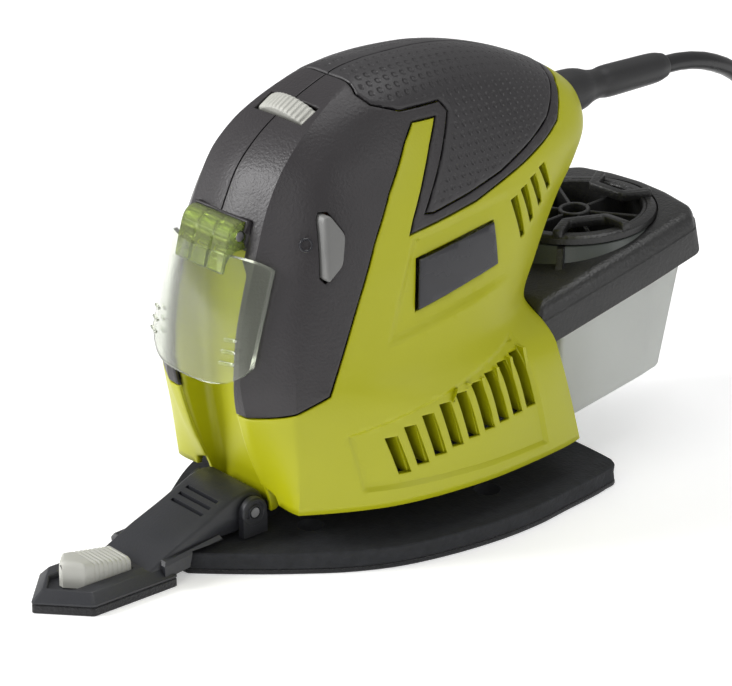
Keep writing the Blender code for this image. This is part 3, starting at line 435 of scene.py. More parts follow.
def hermite(points, sharp, t):
    """Points on a cubic through all points; sharp[i] = 1 puts a corner at point i."""
    p = np.asarray(points, float)
    last = len(p) - 1
    i = np.minimum(np.floor(t).astype(int), last - 1)
    u = (t - i)[:, None]
    step = np.diff(p, axis=0)
    before = np.vstack([step[:1], step])
    after = np.vstack([step, step[-1:]])
    mean = (before + after) / 2
    s = np.asarray(sharp, float)[:, None]
    leave = mean * (1 - s) + after * s
    arrive = mean * (1 - s) + before * s
    a, b, m0, m1 = p[i], p[i + 1], leave[i], arrive[i + 1]
    return ((2 * u ** 3 - 3 * u ** 2 + 1) * a + (u ** 3 - 2 * u ** 2 + u) * m0
            + (3 * u ** 2 - 2 * u ** 3) * b + (u ** 3 - u ** 2) * m1)


def smoothstep(value, low, high):
    s = np.clip((value - low) / (high - low), 0.0, 1.0)
    return s * s * (3 - 2 * s)


def body_grid():
    """The +X half of the body surface: rows of levels, from the front to the rear centre line."""
    levels = np.array([row[0] for row in BODY_SECTIONS])
    half = np.array([row[1] for row in BODY_SECTIONS], float)
    rows = len(levels)
    marks = np.linspace(0, rows - 1, (rows - 1) * ROWS_PER_LEVEL + 1)
    flat = np.column_stack([half.reshape(rows, -1), levels])
    fine = hermite(flat, np.zeros(rows), marks)
    around = np.linspace(0, 8, 8 * COLUMNS_PER_SPAN + 1)
    grid = []
    for row in fine:
        points, level = row[:-1].reshape(9, 2), row[-1]
        low = 1 - smoothstep(level, 52, 78)
        ridge = 1 - smoothstep(level, 134, 139)
        sharp = np.array([0, 0.8 * ridge, 0.65 * low, 0, 0, 0, 0.7 * low, 0.4 * low, 0])
        mirrored = np.vstack([points[1] * (-1, 1), points, points[-2] * (-1, 1)])
        section = hermite(mirrored, np.concatenate([[0], sharp, [0]]), around + 1)
        grid.append(np.column_stack([section, np.full(len(section), level)]))
    grid = np.array(grid)
    grid[:, 0, 0] = 0
    grid[:, -1, 0] = 0
    return grid


GRID = body_grid()


def surface_normals(grid):
    around = np.gradient(grid, axis=1)
    upward = np.gradient(grid, axis=0)
    normals = np.cross(around, upward)
    length = np.linalg.norm(normals, axis=2, keepdims=True)
    return normals / np.maximum(length, 1e-6)


def body_bmesh():
    """The +X half of the body as an open sheet, closed over the top."""
    grid = GRID
    bm = bmesh.new()
    verts = [[bm.verts.new(p) for p in row] for row in grid]
    centre = Vector((0.0, 18.0, 141.5))
    for shrink in (0.66, 0.33):
        ring = [bm.verts.new(centre + (Vector(p) - centre) * shrink) for p in grid[-1]]
        for v in ring:
            v.co.z = centre.z - 0.2 * shrink
        verts.append(ring)
    skin(bm, verts)
    tip = bm.verts.new(centre)
    for k in range(grid.shape[1] - 1):
        bm.faces.new((verts[-1][k], verts[-1][k + 1], tip))
    bmesh.ops.remove_doubles(bm, verts=bm.verts, dist=0.01)
    bmesh.ops.recalc_face_normals(bm, faces=bm.faces)
    if sum(f.normal.x * f.calc_area() for f in bm.faces) < 0:
        bmesh.ops.reverse_faces(bm, faces=bm.faces)
    return bm


def offset_outline(outline, distance):
    """Move a closed outline outwards, or inwards for a negative distance."""
    area = sum(a[0] * b[1] - b[0] * a[1] for a, b in zip(outline, outline[1:] + outline[:1]))
    side = math.copysign(1.0, area)
    moved = []
    for i, point in enumerate(outline):
        before, after = outline[i - 1], outline[(i + 1) % len(outline)]
        first = Vector((point[1] - before[1], before[0] - point[0])).normalized() * side
        second = Vector((after[1] - point[1], point[0] - after[0])).normalized() * side
        corner = (first + second) / max(0.35, 1 + first.dot(second))
        moved.append((point[0] + corner.x * distance, point[1] + corner.y * distance))
    return moved


def inside_outline(points, outline):
    """Which of the (n, 2) points lie inside a closed outline."""
    inside = np.zeros(len(points), bool)
    x, y = points[:, 0], points[:, 1]
    for (x0, y0), (x1, y1) in zip(outline, outline[1:] + outline[:1]):
        if y0 == y1:
            continue
        crosses = (y0 > y) != (y1 > y)
        inside ^= crosses & (x < (x1 - x0) * (y - y0) / (y1 - y0) + x0)
    return inside


def outline_distance(points, outline):
    """Distance from each of the (n, 2) points to a closed outline."""
    best = np.full(len(points), 1e9)
    for a, b in zip(outline, outline[1:] + outline[:1]):
        a, b = np.array(a, float), np.array(b, float)
        run = b - a
        t = np.clip(((points - a) @ run) / max(run @ run, 1e-12), 0, 1)
        gap = np.linalg.norm(points - a - t[:, None] * run, axis=1)
        best = np.minimum(best, gap)
    return best


SIDE = (Vector((0, 1, 0)), Vector((0, 0, 1)))
FRONT = (Vector((1, 0, 0)), Vector((0, 0, 1)))
ROUND = 0.55
MARGIN = 4


class Sheet:
    """An open sheet that outlines are cut into; its cut edges are rounded at the end."""

    def __init__(self):
        self.bm = body_bmesh()
        self.cuts = []
        self.fields = []

    def cut(self, outline, view=SIDE, where=None, hold="outside", radius=ROUND):
        """Keep the part outside or inside an outline drawn in a view of the body."""
        bm, (u, v) = self.bm, view
        sign = 1 if hold == "outside" else -1
        self.trace(outline, [sign * inset for inset in (0.0, radius * 0.35, radius)], view, where)
        bm.faces.ensure_lookup_table()
        centres = [f.calc_center_median() for f in bm.faces]
        flat = np.array([(c.dot(u), c.dot(v)) for c in centres])
        inside = inside_outline(flat, outline)
        if where is not None:
            inside &= np.array([where(c) for c in centres])
        drop = inside if hold == "outside" else ~inside
        bmesh.ops.delete(bm, geom=[f for f, d in zip(bm.faces, drop) if d], context="FACES")
        self.cuts.append((outline, u, v, where, radius))

    def trace(self, outline, offsets, view, where):
        """Put edges into the sheet along an outline, once at each offset from it."""
        u, v = view
        for offset in offsets:
            loop = offset_outline(outline, offset) if offset else outline
            low, high = np.min(loop, axis=0) - MARGIN, np.max(loop, axis=0) + MARGIN
            near = [f for f in self.bm.faces
                    if low[0] < f.calc_center_median().dot(u) < high[0]
                    and low[1] < f.calc_center_median().dot(v) < high[1]
                    and (where is None or where(f.calc_center_median()))]
            for a, b in zip(loop, loop[1:] + loop[:1]):
                near = self.bisect(near, np.array(a, float), np.array(b, float), u, v)

    def bisect(self, near, a, b, u, v):
        """Cut the faces near the stretch a-b along its line."""
        run = b - a
        length = float(np.linalg.norm(run))
        if length < 1e-6:
            return near
        run /= length
        across = np.array((run[1], -run[0]))
        chosen, rest = [], []
        for face in near:
            corners = [(w.co.dot(u), w.co.dot(v)) for w in face.verts]
            side = [(c[0] - a[0]) * across[0] + (c[1] - a[1]) * across[1] for c in corners]
            along = [(c[0] - a[0]) * run[0] + (c[1] - a[1]) * run[1] for c in corners]
            touches = min(side) < -1e-4 and max(side) > 1e-4
            if touches and max(along) > -0.05 and min(along) < length + 0.05:
                chosen.append(face)
            else:
                rest.append(face)
        if not chosen:
            return near
        geom = set(chosen)
        for face in chosen:
            geom.update(face.edges)
            geom.update(face.verts)
        point = u * float(a[0]) + v * float(a[1])
        normal = u * float(across[0]) + v * float(across[1])
        made = bmesh.ops.bisect_plane(self.bm, geom=list(geom), dist=1e-4, plane_co=point,
                                      plane_no=normal)
        return rest + [g for g in made["geom"] if isinstance(g, bmesh.types.BMFace)]

    def score(self, outline, depth, run, view=SIDE, where=None, fade=None):
        """Sink the field inside an outline by depth, with a bevel of width run."""
        u, v = view
        self.trace(outline, (0.0, -run * 0.5, -run), view, where)
        self.fields.append((outline, u, v, where, depth, run, fade))

    def seam(self, gap=0.15, radius=0.35):
        """Trim the sheet just short of the centre plane and round that edge too."""
        for x in (gap, gap + radius * 0.35, gap + radius):
            geom = self.bm.verts[:] + self.bm.edges[:] + self.bm.faces[:]
            bmesh.ops.bisect_plane(self.bm, geom=geom, dist=1e-4, plane_co=(x, 0, 0),
                                   plane_no=(1, 0, 0), clear_inner=x == gap)
        self.gap, self.seam_radius = gap, radius

    def twin(self):
        """A second sheet with the same cuts."""
        other = Sheet.__new__(Sheet)
        other.bm = self.bm.copy()
        other.cuts = list(self.cuts)
        other.fields = list(self.fields)
        return other

    def drop_in(self, raise_by=0.0):
        """Round all cut edges by sinking the points next to them, and set the whole height."""
        bm = self.bm
        bmesh.ops.dissolve_degenerate(bm, dist=0.002, edges=bm.edges)
        bm.normal_update()
        points = np.array([w.co for w in bm.verts])
        sink = np.zeros(len(points))
        for outline, u, v, where, radius in self.cuts:
            flat = np.column_stack([points @ np.array(u), points @ np.array(v)])
            gap = outline_distance(flat, outline)
            if where is not None:
                gap[[not where(w.co) for w in bm.verts]] = 1e9
            short = np.clip(radius - gap, 0, radius)
            sink = np.maximum(sink, radius - np.sqrt(radius ** 2 - short ** 2))
        for outline, u, v, where, depth, run, fade in self.fields:
            flat = np.column_stack([points @ np.array(u), points @ np.array(v)])
            amount = depth * smoothstep(outline_distance(flat, outline), 0.0, run)
            amount[~inside_outline(flat, outline)] = 0
            if where is not None:
                amount[[not where(w.co) for w in bm.verts]] = 0
            sink = sink + (amount * fade(flat[:, 0]) if fade else amount)
        short = np.clip(self.seam_radius + self.gap - points[:, 0], 0, self.seam_radius)
        sink = np.maximum(sink, self.seam_radius - np.sqrt(self.seam_radius ** 2 - short ** 2))
        normals = [w.normal.copy() for w in bm.verts]
        for vert, normal, depth in zip(bm.verts, normals, sink):
            vert.co += normal * (raise_by - float(depth))
            if vert.co.x < self.gap:
                vert.co.x = self.gap
        return points


def mirrored_copy(bm):
    twin = bm.copy()
    bmesh.ops.scale(twin, vec=(-1, 1, 1), verts=twin.verts)
    bmesh.ops.reverse_faces(twin, faces=twin.faces)
    return twin


CHANNEL = [(-5, -2), (12.5, -2), (13.5, 48), (14.5, 62), (14.5, 91), (10.5, 96.5), (-5, 96.5)]
CHANNEL_FLOOR = [(5, -35), (20, -36.5), (50, -41), (78, -41), (96.5, -39.5)]
FOOT_NOTCH = [(-5, -2), (20.5, -2), (18.4, 20.5), (12, 23), (-5, 23)]
HINGE_NOTCH = [(-5, 95), (12.4, 95), (12.4, 105.6), (-5, 105.6)]


def in_front(centre):
    return centre.y < -25


def dial_slot_view():
    return Vector((1, 0, 0)), Vector((0, math.cos(DIAL_TILT), math.sin(DIAL_TILT)))


def on_brow(centre):
    """True near the surface above the dial."""
    out = Vector((0, -math.sin(DIAL_TILT), math.cos(DIAL_TILT)))
    return (centre - DIAL_CENTRE).dot(out) > 3


def side_vent(index):
    """One of the nine slanted slots in the side of the skirt."""
    y = -18.5 + index * 6.1
    low = 28.0 + index * 1.1 + 1.5 * math.sin(math.pi * index / 8)
    high = low + 12.5 + index * 0.75
    return [(y + 4.9, low), (y + 8.7, low), (y + 3.8, high), (y, high)]


VENT_FIELD = [(-24.5, 24.0), (-30.0, 43.5), (34.5, 59.5), (44.5, 22.0)]
LABEL_FIELD = [(-15.2, 67.0), (-2.0, 97.8), (0, 98.2), (52, 104), (52, 76.8), (15.7, 71.6)]


def vent_fins():
    """The deep louvre blades behind the side and rear slots."""
    blades = []
    for outline, reach in ([(side_vent(k), 6.5) for k in range(SIDE_VENTS)]
                           + [(rear_vent(k), 4.5) for k in range(REAR_VENTS)]):
        y, z = np.mean(outline, axis=0)
        face = body_side_x(y, z) - 1.7
        low, high = outline[1], outline[2]
        blade = [(low[0] - 0.1, low[1] - 0.6), (low[0] + 1.0, low[1] - 0.6),
                 (high[0] + 1.0, high[1] + 0.6), (high[0] - 0.1, high[1] + 0.6)]
        for side in (-1, 1):
            blades.append(prism_x(blade, side * (face - reach), side * face))
    finish_mesh("louvre_blades", joined(*blades), LIME, "housing")


def rear_vent(index):
    """One of the four slots in the band behind the label."""
    y = 38.5 + index * 4.5
    top = 98.8 + index * 2.2
    tall = 12.0 - index * 1.6
    return [(y, top), (y + 2.6, top + 0.8), (y + 5.6, top - tall), (y + 4.0, top - tall - 0.8)]


def switch_outline(grow=0.0):
    outline = [(-1.6, 7.7), (-0.8, 9.2), (1.0, 9.1), (4.2, 3.4), (2.0, -5.1), (-2.8, -9.4),
               (-3.7, -8.3)]
    outline = [(SWITCH_Y + y, SWITCH_Z + z) for y, z in outline]
    return offset_outline(outline, grow) if grow else outline


def circle(centre, radius, count=16):
    return [(centre[0] + radius * math.cos(2 * math.pi * (k + 0.5) / count),
             centre[1] + radius * math.sin(2 * math.pi * (k + 0.5) / count)) for k in range(count)]


def on_side(centre):
    return centre.x > 16


def lime_shells():
    """The two lime housing shells with their openings, and the left one's screw holes."""
    sheet = Sheet()
    sheet.cut(offset_outline(BLACK_AREA, 0.15))
    sheet.cut(offset_outline(LABEL_AREA, 0.15), where=on_side)
    sheet.score(VENT_FIELD, 1.0, 1.3, where=on_side)
    sheet.score(LABEL_FIELD, 1.1, 2.6, where=on_side,
                fade=lambda y: 1 - smoothstep(y, 20, 46))
    for index in range(SIDE_VENTS):
        sheet.cut(side_vent(index), where=on_side, radius=0.6)
    for index in range(REAR_VENTS):
        sheet.cut(rear_vent(index), where=on_side, radius=0.6)
    sheet.cut(CHANNEL, FRONT, in_front, radius=1.1)
    sheet.cut(FOOT_NOTCH, FRONT, in_front, radius=1.1)
    sheet.cut(circle((0, BOOT_Z), 7.4, 20), FRONT, lambda c: c.y > 60, radius=0.8)
    other = sheet.twin()
    for spot in HOUSING_SCREWS:
        if spot != BLACK_SCREW:
            other.cut(circle(spot, 4.2, 24), where=on_side, radius=0.5)
    for half in (sheet, other):
        half.seam()
        half.drop_in()
    left = mirrored_copy(other.bm)
    finish_mesh("shell_right", sheet.bm, LIME, "housing", ["housing_right"],
                thick=2.6)
    finish_mesh("shell_left", left, LIME, "housing", ["housing_left"], thick=2.6)


def front_covers():
    sheet = Sheet()
    sheet.cut(offset_outline(BLACK_AREA, -0.15), hold="inside", radius=0.8)
    sheet.cut(offset_outline(GRIP_AREA, 0.12), radius=0.7)
    sheet.cut(CHANNEL, FRONT, in_front, radius=0.9)
    sheet.cut(HINGE_NOTCH, FRONT, in_front, radius=0.6)
    sheet.cut(switch_outline(0.45), where=on_side, radius=0.5)
    u, v = dial_slot_view()
    across, along = DIAL_CENTRE.dot(u), DIAL_CENTRE.dot(v)
    slot = [(across - 5, along - 3.7), (across + 10.6, along - 3.7),
            (across + 10.6, along + 3.7), (across - 5, along + 3.7)]
    sheet.cut(slot, (u, v), on_brow, radius=0.6)
    other = sheet.twin()
    other.cut(circle(BLACK_SCREW, 4.2, 24), where=on_side, radius=0.5)
    for half in (sheet, other):
        half.seam()
        half.drop_in()
    left = mirrored_copy(other.bm)
    finish_mesh("cover_right", sheet.bm, BLACK, "housing",
                ["front_cover_right"], sharp=18, thick=2.2)
    finish_mesh("cover_left", left, BLACK, "housing", ["front_cover_left"],
                sharp=18, thick=2.2)


def grips():
    """Soft grips, with the coordinates and edge distance that their dimples are laid out by."""
    sheet = Sheet()
    sheet.cut(offset_outline(GRIP_AREA, -0.12), hold="inside", radius=0.9)
    sheet.seam(radius=0.5)
    points = sheet.drop_in(0.15)
    edge = outline_distance(points[:, 1:], GRIP_AREA)
    angle = np.arctan2(points[:, 0], points[:, 2] - 98)
    weave = np.column_stack([angle * 34.0, points[:, 1], np.minimum(edge, points[:, 0] + 0.6)])
    for name, bm, node in (("grip_pad_right", sheet.bm.copy(), "grip_right"),
                           ("grip_pad_left", mirrored_copy(sheet.bm), "grip_left")):
        obj = finish_mesh(name, bm, GRIP, "housing", [node], thick=2.0)
        layer = obj.data.attributes.new("weave", "FLOAT_VECTOR", "POINT")
        layer.data.foreach_set("vector", weave.ravel())
    sheet.bm.free()


def labels():
    """Blank name plates: thin dark plates just proud of the shells."""
    sheet = Sheet()
    sheet.cut(offset_outline(LABEL_AREA, -0.15), where=on_side, hold="inside", radius=0.5)
    bm = sheet.bm
    far = [f for f in bm.faces if not on_side(f.calc_center_median())]
    bmesh.ops.delete(bm, geom=far, context="FACES")
    sheet.seam()
    sheet.drop_in(0.1)
    left = mirrored_copy(bm)
    finish_mesh("plate_right", bm, LABEL, "housing", ["label_right"], thick=1.0)
    finish_mesh("plate_left", left, LABEL, "housing", ["label_left"], thick=1.0)


def front_depth(x, z):
    """The y of the body surface in front, at x across and z up."""
    ys = []
    for row in GRID:
        front = row[:4 * COLUMNS_PER_SPAN]
        ys.append(np.interp(x, front[:, 0], front[:, 1]))
    return float(np.interp(z, GRID[:, 0, 2], ys))


def channel_liner():
    """Walls, floor and ceiling of the recess in front, one open sheet with rounded corners."""
    bm = bmesh.new()
    rows = []
    for z in np.concatenate([np.linspace(14, 47.5, 12), np.linspace(48.6, 91, 14),
                             [93.0, 95.0, 96.4]]):
        half = np.interp(z, [p[1] for p in CHANNEL[1:6]], [p[0] for p in CHANNEL[1:6]])
        floor = np.interp(z, *zip(*CHANNEL_FLOOR))
        rim = front_depth(half, z) + (2.3 if z > 48 else 0.8)
        if z > 95:
            floor = rim + 0.5
        corner = min(2.5, abs(floor - rim) * 0.8)
        section = [(x, floor) for x in np.linspace(0, half - corner, 6)]
        section += [(half - corner + corner * math.sin(a), floor - corner * (1 - math.cos(a)))
                    for a in np.linspace(0.25, math.pi / 2, 5)]
        section += [(half, y) for y in np.linspace(floor - corner, rim, 4)[1:]]
        full = [(-x, y) for x, y in reversed(section)] + section[1:]
        rows.append([bm.verts.new((x, y, z)) for x, y in full])
    skin(bm, rows)
    bmesh.ops.recalc_face_normals(bm, faces=bm.faces)
    if sum(f.normal.y for f in bm.faces) > 0:
        bmesh.ops.reverse_faces(bm, faces=bm.faces)
    finish_mesh("front_channel", bm, LIME, "housing", thick=1.6)


def hinge_cradle():
    """A curved pocket behind the guard's hinge, with narrow ends."""
    bm = bmesh.new()
    y, z = GUARD_HINGE
    rows = []
    for x in (-12.3, -12.29, 12.29, 12.3):
        r = 1.6 if abs(x) > 12.295 else 5.2
        rows.append([bm.verts.new((x, y + r * math.cos(a), z + r * math.sin(a)))
                     for a in np.linspace(-1.2, 1.2, 21)])
    skin(bm, rows)
    bmesh.ops.recalc_face_normals(bm, faces=bm.faces)
    finish_mesh("hinge_cradle", bm, BLACK, "housing", thick=1.0)


# ------------------------------------------------------------------ solid shapes
def loft(rings, closed_ends=True):
    """A bmesh through rings of equal length."""
    bm = bmesh.new()
    rows = [[bm.verts.new(p) for p in ring] for ring in rings]
    count = len(rows[0])
    for low, high in zip(rows, rows[1:]):
        for k in range(count):
            j = (k + 1) % count
            bm.faces.new((low[k], low[j], high[j], high[k]))
    if closed_ends:
        bm.faces.new(rows[0])
        bm.faces.new(rows[-1])
    bmesh.ops.recalc_face_normals(bm, faces=bm.faces)
    return bm


def prism_x(outline, x0, x1):
    return loft([[(x, y, z) for y, z in outline] for x in (x0, x1)])


def prism_z(outline, z0, z1):
    return loft([[(x, y, z) for x, y in outline] for z in (z0, z1)])


def turned(profile, centre=(0, 0, 0), axis=(0, 0, 1), segments=48, ring=False):
    """Turn (radius, height) points round an axis; ring=True closes the profile on itself."""
    turn = Vector((0, 0, 1)).rotation_difference(Vector(axis).normalized()).to_matrix()
    bm = bmesh.new()
    rows = []
    for radius, height in profile:
        count = 1 if radius == 0 else segments
        row = []
        for k in range(count):
            angle = 2 * math.pi * (k + 0.5) / segments
            point = Vector((radius * math.cos(angle), radius * math.sin(angle), height))
            row.append(bm.verts.new(turn @ point + Vector(centre)))
        rows.append(row * segments if count == 1 else row)
    pairs = list(zip(rows, rows[1:])) + ([(rows[-1], rows[0])] if ring else [])
    for low, high in pairs:
        for k in range(segments):
            j = (k + 1) % segments
            corners = list(dict.fromkeys((low[k], low[j], high[j], high[k])))
            if len(corners) > 2:
                bm.faces.new(corners)
    bmesh.ops.recalc_face_normals(bm, faces=bm.faces)
    return bm


def rod(radius, low, high, centre=(0, 0, 0), axis=(0, 0, 1), segments=32):
    return turned([(0, low), (radius, low), (radius, high), (0, high)], centre, axis, segments)


def soft_rod(radius, low, high, centre=(0, 0, 0), axis=(0, 0, 1), segments=32, edge=0.4):
    """A rod with rounded rims."""
    rims = [(radius - edge + edge * math.sin(a), edge * (1 - math.cos(a)))
            for a in np.linspace(0, math.pi / 2, 4)]
    profile = [(0, low)] + [(r, low + h) for r, h in rims]
    profile += [(r, high - h) for r, h in reversed(rims)] + [(0, high)]
    return turned(profile, centre, axis, segments)


def joined(*parts):
    """Several bmeshes as one, each kept as its own closed body."""
    whole = bmesh.new()
    for bm in parts:
        mesh = bpy.data.meshes.new("part")
        bm.to_mesh(mesh)
        bm.free()
        whole.from_mesh(mesh)
        bpy.data.meshes.remove(mesh)
    return whole


def boolean(bm, tools, operation="DIFFERENCE"):
    """Cut or unite bmeshes with Blender's exact solver."""
    def as_object(part):
        mesh = bpy.data.meshes.new("part")
        bmesh.ops.triangulate(part, faces=part.faces)
        part.to_mesh(mesh)
        part.free()
        return link("part", mesh)

    target = as_object(bm)
    for tool in tools:
        cutter = as_object(tool)
        modifier = target.modifiers.new("cut", "BOOLEAN")
        modifier.operation = operation
        modifier.solver = "EXACT"
        modifier.object = cutter
        bpy.context.view_layer.update()
        graph = bpy.context.evaluated_depsgraph_get()
        mesh = bpy.data.meshes.new_from_object(target.evaluated_get(graph))
        target.modifiers.clear()
        target.data = mesh
        bpy.data.objects.remove(cutter, do_unlink=True)
    result = bmesh.new()
    result.from_mesh(target.data)
    bpy.data.objects.remove(target, do_unlink=True)
    bmesh.ops.remove_doubles(result, verts=result.verts, dist=0.001)
    bmesh.ops.dissolve_limit(result, angle_limit=0.002, verts=result.verts, edges=result.edges)
    return result


def unite(*parts):
    return boolean(parts[0], parts[1:], "UNION")


def mirrored_outline(half):
    """A closed outline from its +X half, which starts and ends on the centre line."""
    return list(half) + [(-x, y) for x, y in reversed(list(half)) if x > 1e-6]


def round_corners(outline, radius, steps=5):
    """Replace each corner of a closed outline with an arc-like curve."""
    rounded = []
    for i, corner in enumerate(outline):
        corner = Vector(corner)
        before, after = Vector(outline[i - 1]), Vector(outline[(i + 1) % len(outline)])
        reach = min(radius, (before - corner).length * 0.45, (after - corner).length * 0.45)
        start = corner + (before - corner).normalized() * reach
        end = corner + (after - corner).normalized() * reach
        for t in np.linspace(0, 1, steps):
            point = start * (1 - t) ** 2 + corner * 2 * t * (1 - t) + end * t ** 2
            rounded.append((point.x, point.y))
    return rounded


def inset_ring(outline, inset, radius=0.0, steps=5):
    """An outline moved inwards, then with its corners rounded."""
    ring = offset_outline(outline, -inset) if inset else list(outline)
    return round_corners(ring, radius, steps) if radius else ring


# ------------------------------------------------------------------ guard, switch and dial
def guard():
    """Clear front guard: a bowed sheet with finger ribs, and three hinge lobes on a barrel."""
    half, columns, levels = 23.0, 44, 26
    bm = bmesh.new()
    rows = []
    for level in range(levels + 1):
        down = level / levels
        row = []
        for k in range(columns + 1):
            u = 2 * k / columns - 1
            low = 59.5 + 6.5 * abs(u) ** 5
            z = 97.0 + (low - 97.0) * down - 3.0 * abs(u) ** 6 * (1 - down)
            bow = (8.0 - 1.2 * down + 1.2 * math.sin(math.pi * down)) * (1 - abs(u) ** 2.4)
            row.append(bm.verts.new((u * half, -45.0 - 8.3 * down - bow, z)))
        rows.append(row)
    skin(bm, rows)
    geom = bmesh.ops.extrude_face_region(bm, geom=bm.faces[:])["geom"]
    for vert in (g for g in geom if isinstance(g, bmesh.types.BMVert)):
        vert.co.y += 1.6
    bmesh.ops.recalc_face_normals(bm, faces=bm.faces)
    y, z = GUARD_HINGE
    barrel = turned([(1.9, -10.9), (4.0, -10.9), (4.4, -10.5), (4.4, 10.5), (4.0, 10.9),
                     (1.9, 10.9)], (0, y, z), (1, 0, 0), 48, ring=True)
    tongue = [(-53.7, 91.5), (-52.4, 97.0), (-50.7, 102.8), (-46.5, 105.9), (-42.3, 102.6),
              (-43.2, 99.0), (-48.5, 97.0), (-51.6, 94.0), (-51.9, 91.5)]
    tongues = []
    for x0, x1 in ((-11.0, -4.1), (-3.5, 3.5), (4.1, 11.0)):
        rings = [[(x, py, pz) for py, pz in inset_ring(tongue, inset, 0.8)]
                 for x, inset in ((x0, 0.35), (x0 + 0.35, 0), (x1 - 0.35, 0), (x1, 0.35))]
        hole = rod(1.9, -20, 20, (0, y, z), (1, 0, 0), 24)
        tongues.append(boolean(loft(rings), [hole]))
    ribs = []
    for side in (-1, 1):
        for level, length in ((67.2, 5.2), (70.6, 4.6), (74.0, 4.0)):
            centre = (side * 17.2, -57.3 + 0.23 * (level - 67), level)
            ribs.append(soft_rod(0.55, -length / 2, length / 2, centre, (1, side * 0.42, 0), 12))
    finish_mesh("guard_shield", joined(bm, *ribs), CLEAR, "guard", ["guard"])
    # The hinge's green colour is a painted reflection of the lime housing.
    finish_mesh("guard_hinge", joined(barrel, *tongues), LIME_REFLECTION_CLEAR, "guard")
    pin = rod(1.5, -10.9, 10.9, (0, y, z), (1, 0, 0), 24)
    finish_mesh("guard_hinge_pin", pin, STEEL, "guard", ["guard_pin"])


def body_side_x(y, z):
    """The x of the body surface at a place on its side."""
    xs = []
    for row in GRID:
        side = row[2 * COLUMNS_PER_SPAN:7 * COLUMNS_PER_SPAN]
        xs.append(np.interp(y, side[:, 1], side[:, 0]))
    return float(np.interp(z, GRID[:, 0, 2], xs))


def switch():
    """The push-through switch bar, its paddles domed to follow the body."""
    outline = switch_outline()
    parts = []
    for side, stand in ((1, 2.3), (-1, -1.3)):
        rings = []
        for sink, inset in ((9.0, 0.1), (0.9, 0.1), (0.45, 0.22), (0.12, 0.52), (0.0, 1.0)):
            ring = inset_ring(outline, inset, 1.5)
            rings.append([(side * (body_side_x(y, z) + stand - sink), y, z) for y, z in ring])
        parts.append(loft(rings))
    parts.append(rod(3.0, -24, 24, (0, SWITCH_Y, SWITCH_Z), (1, 0, 0), 24))
    finish_mesh("switch_paddle", joined(*parts), GREY, "switch", ["switch_bar"])
    ring = turned([(1.35, -0.5), (2.1, -0.5), (2.1, 0.02), (1.9, 0.22), (1.55, 0.22), (1.35, 0.02)],
                  (body_side_x(-36.3, 101.4) - 0.05, -36.3, 101.4), (0.87, -0.42, 0.25), 32, True)
    finish_mesh("off_mark", ring, LABEL, "housing")


def dial():
    """Speed dial with fine knurls."""
    teeth = 60
    turn = Vector((0, 0, 1)).rotation_difference(
        Vector((0, math.cos(DIAL_TILT), math.sin(DIAL_TILT)))).to_matrix()
    rings = []
    for height, shrink in ((-3.0, 0.95), (-2.7, 0.985), (-2.2, 1.0), (2.2, 1.0), (2.7, 0.985),
                           (3.0, 0.95)):
        ring = []
        for k in range(4 * teeth):
            radius = DIAL_R - (0.32 if k % 4 in (0, 1) else 0.0)
            angle = 2 * math.pi * k / (4 * teeth)
            point = Vector((radius * shrink * math.cos(angle), radius * shrink * math.sin(angle),
                            height))
            ring.append(turn @ point + DIAL_CENTRE)
        rings.append(ring)
    hub = rod(2.5, 2.9, 9, DIAL_CENTRE, turn @ Vector((0, 0, 1)), 24)
    finish_mesh("dial_wheel", joined(loft(rings), hub), PALE, "dial",
                ["speed_dial"], sharp=28)


# ------------------------------------------------------------------ pad and finger
def sole_outline():
    half = np.array(SOLE_HALF, float)
    sharp = np.zeros(len(half))
    sharp[[1, 10, 11]] = (0.8, 0.35, 0.35)
    steps = np.linspace(0, len(half) - 1, (len(half) - 1) * 7 + 1)
    curve = hermite(half, sharp, steps)
    curve[0, 0] = curve[-1, 0] = 0
    return mirrored_outline([tuple(p) for p in curve])


def drilled(bm):
    """Drill the dust holes through a layer of the pad."""
    drills = [rod(4.2, -5, 30, (x + ORBIT, y, 0), segments=32) for x, y in DUST_HOLES]
    return boolean(bm, drills)


def layer(name, outline, profile, mat, slot, node, body="pad"):
    """A pad layer from (z, inset) rings."""
    bm = loft([[(x, y, z) for x, y in inset_ring(outline, inset)] for z, inset in profile])
    finish_mesh(name, drilled(bm), mat, body, [node], sharp=40)


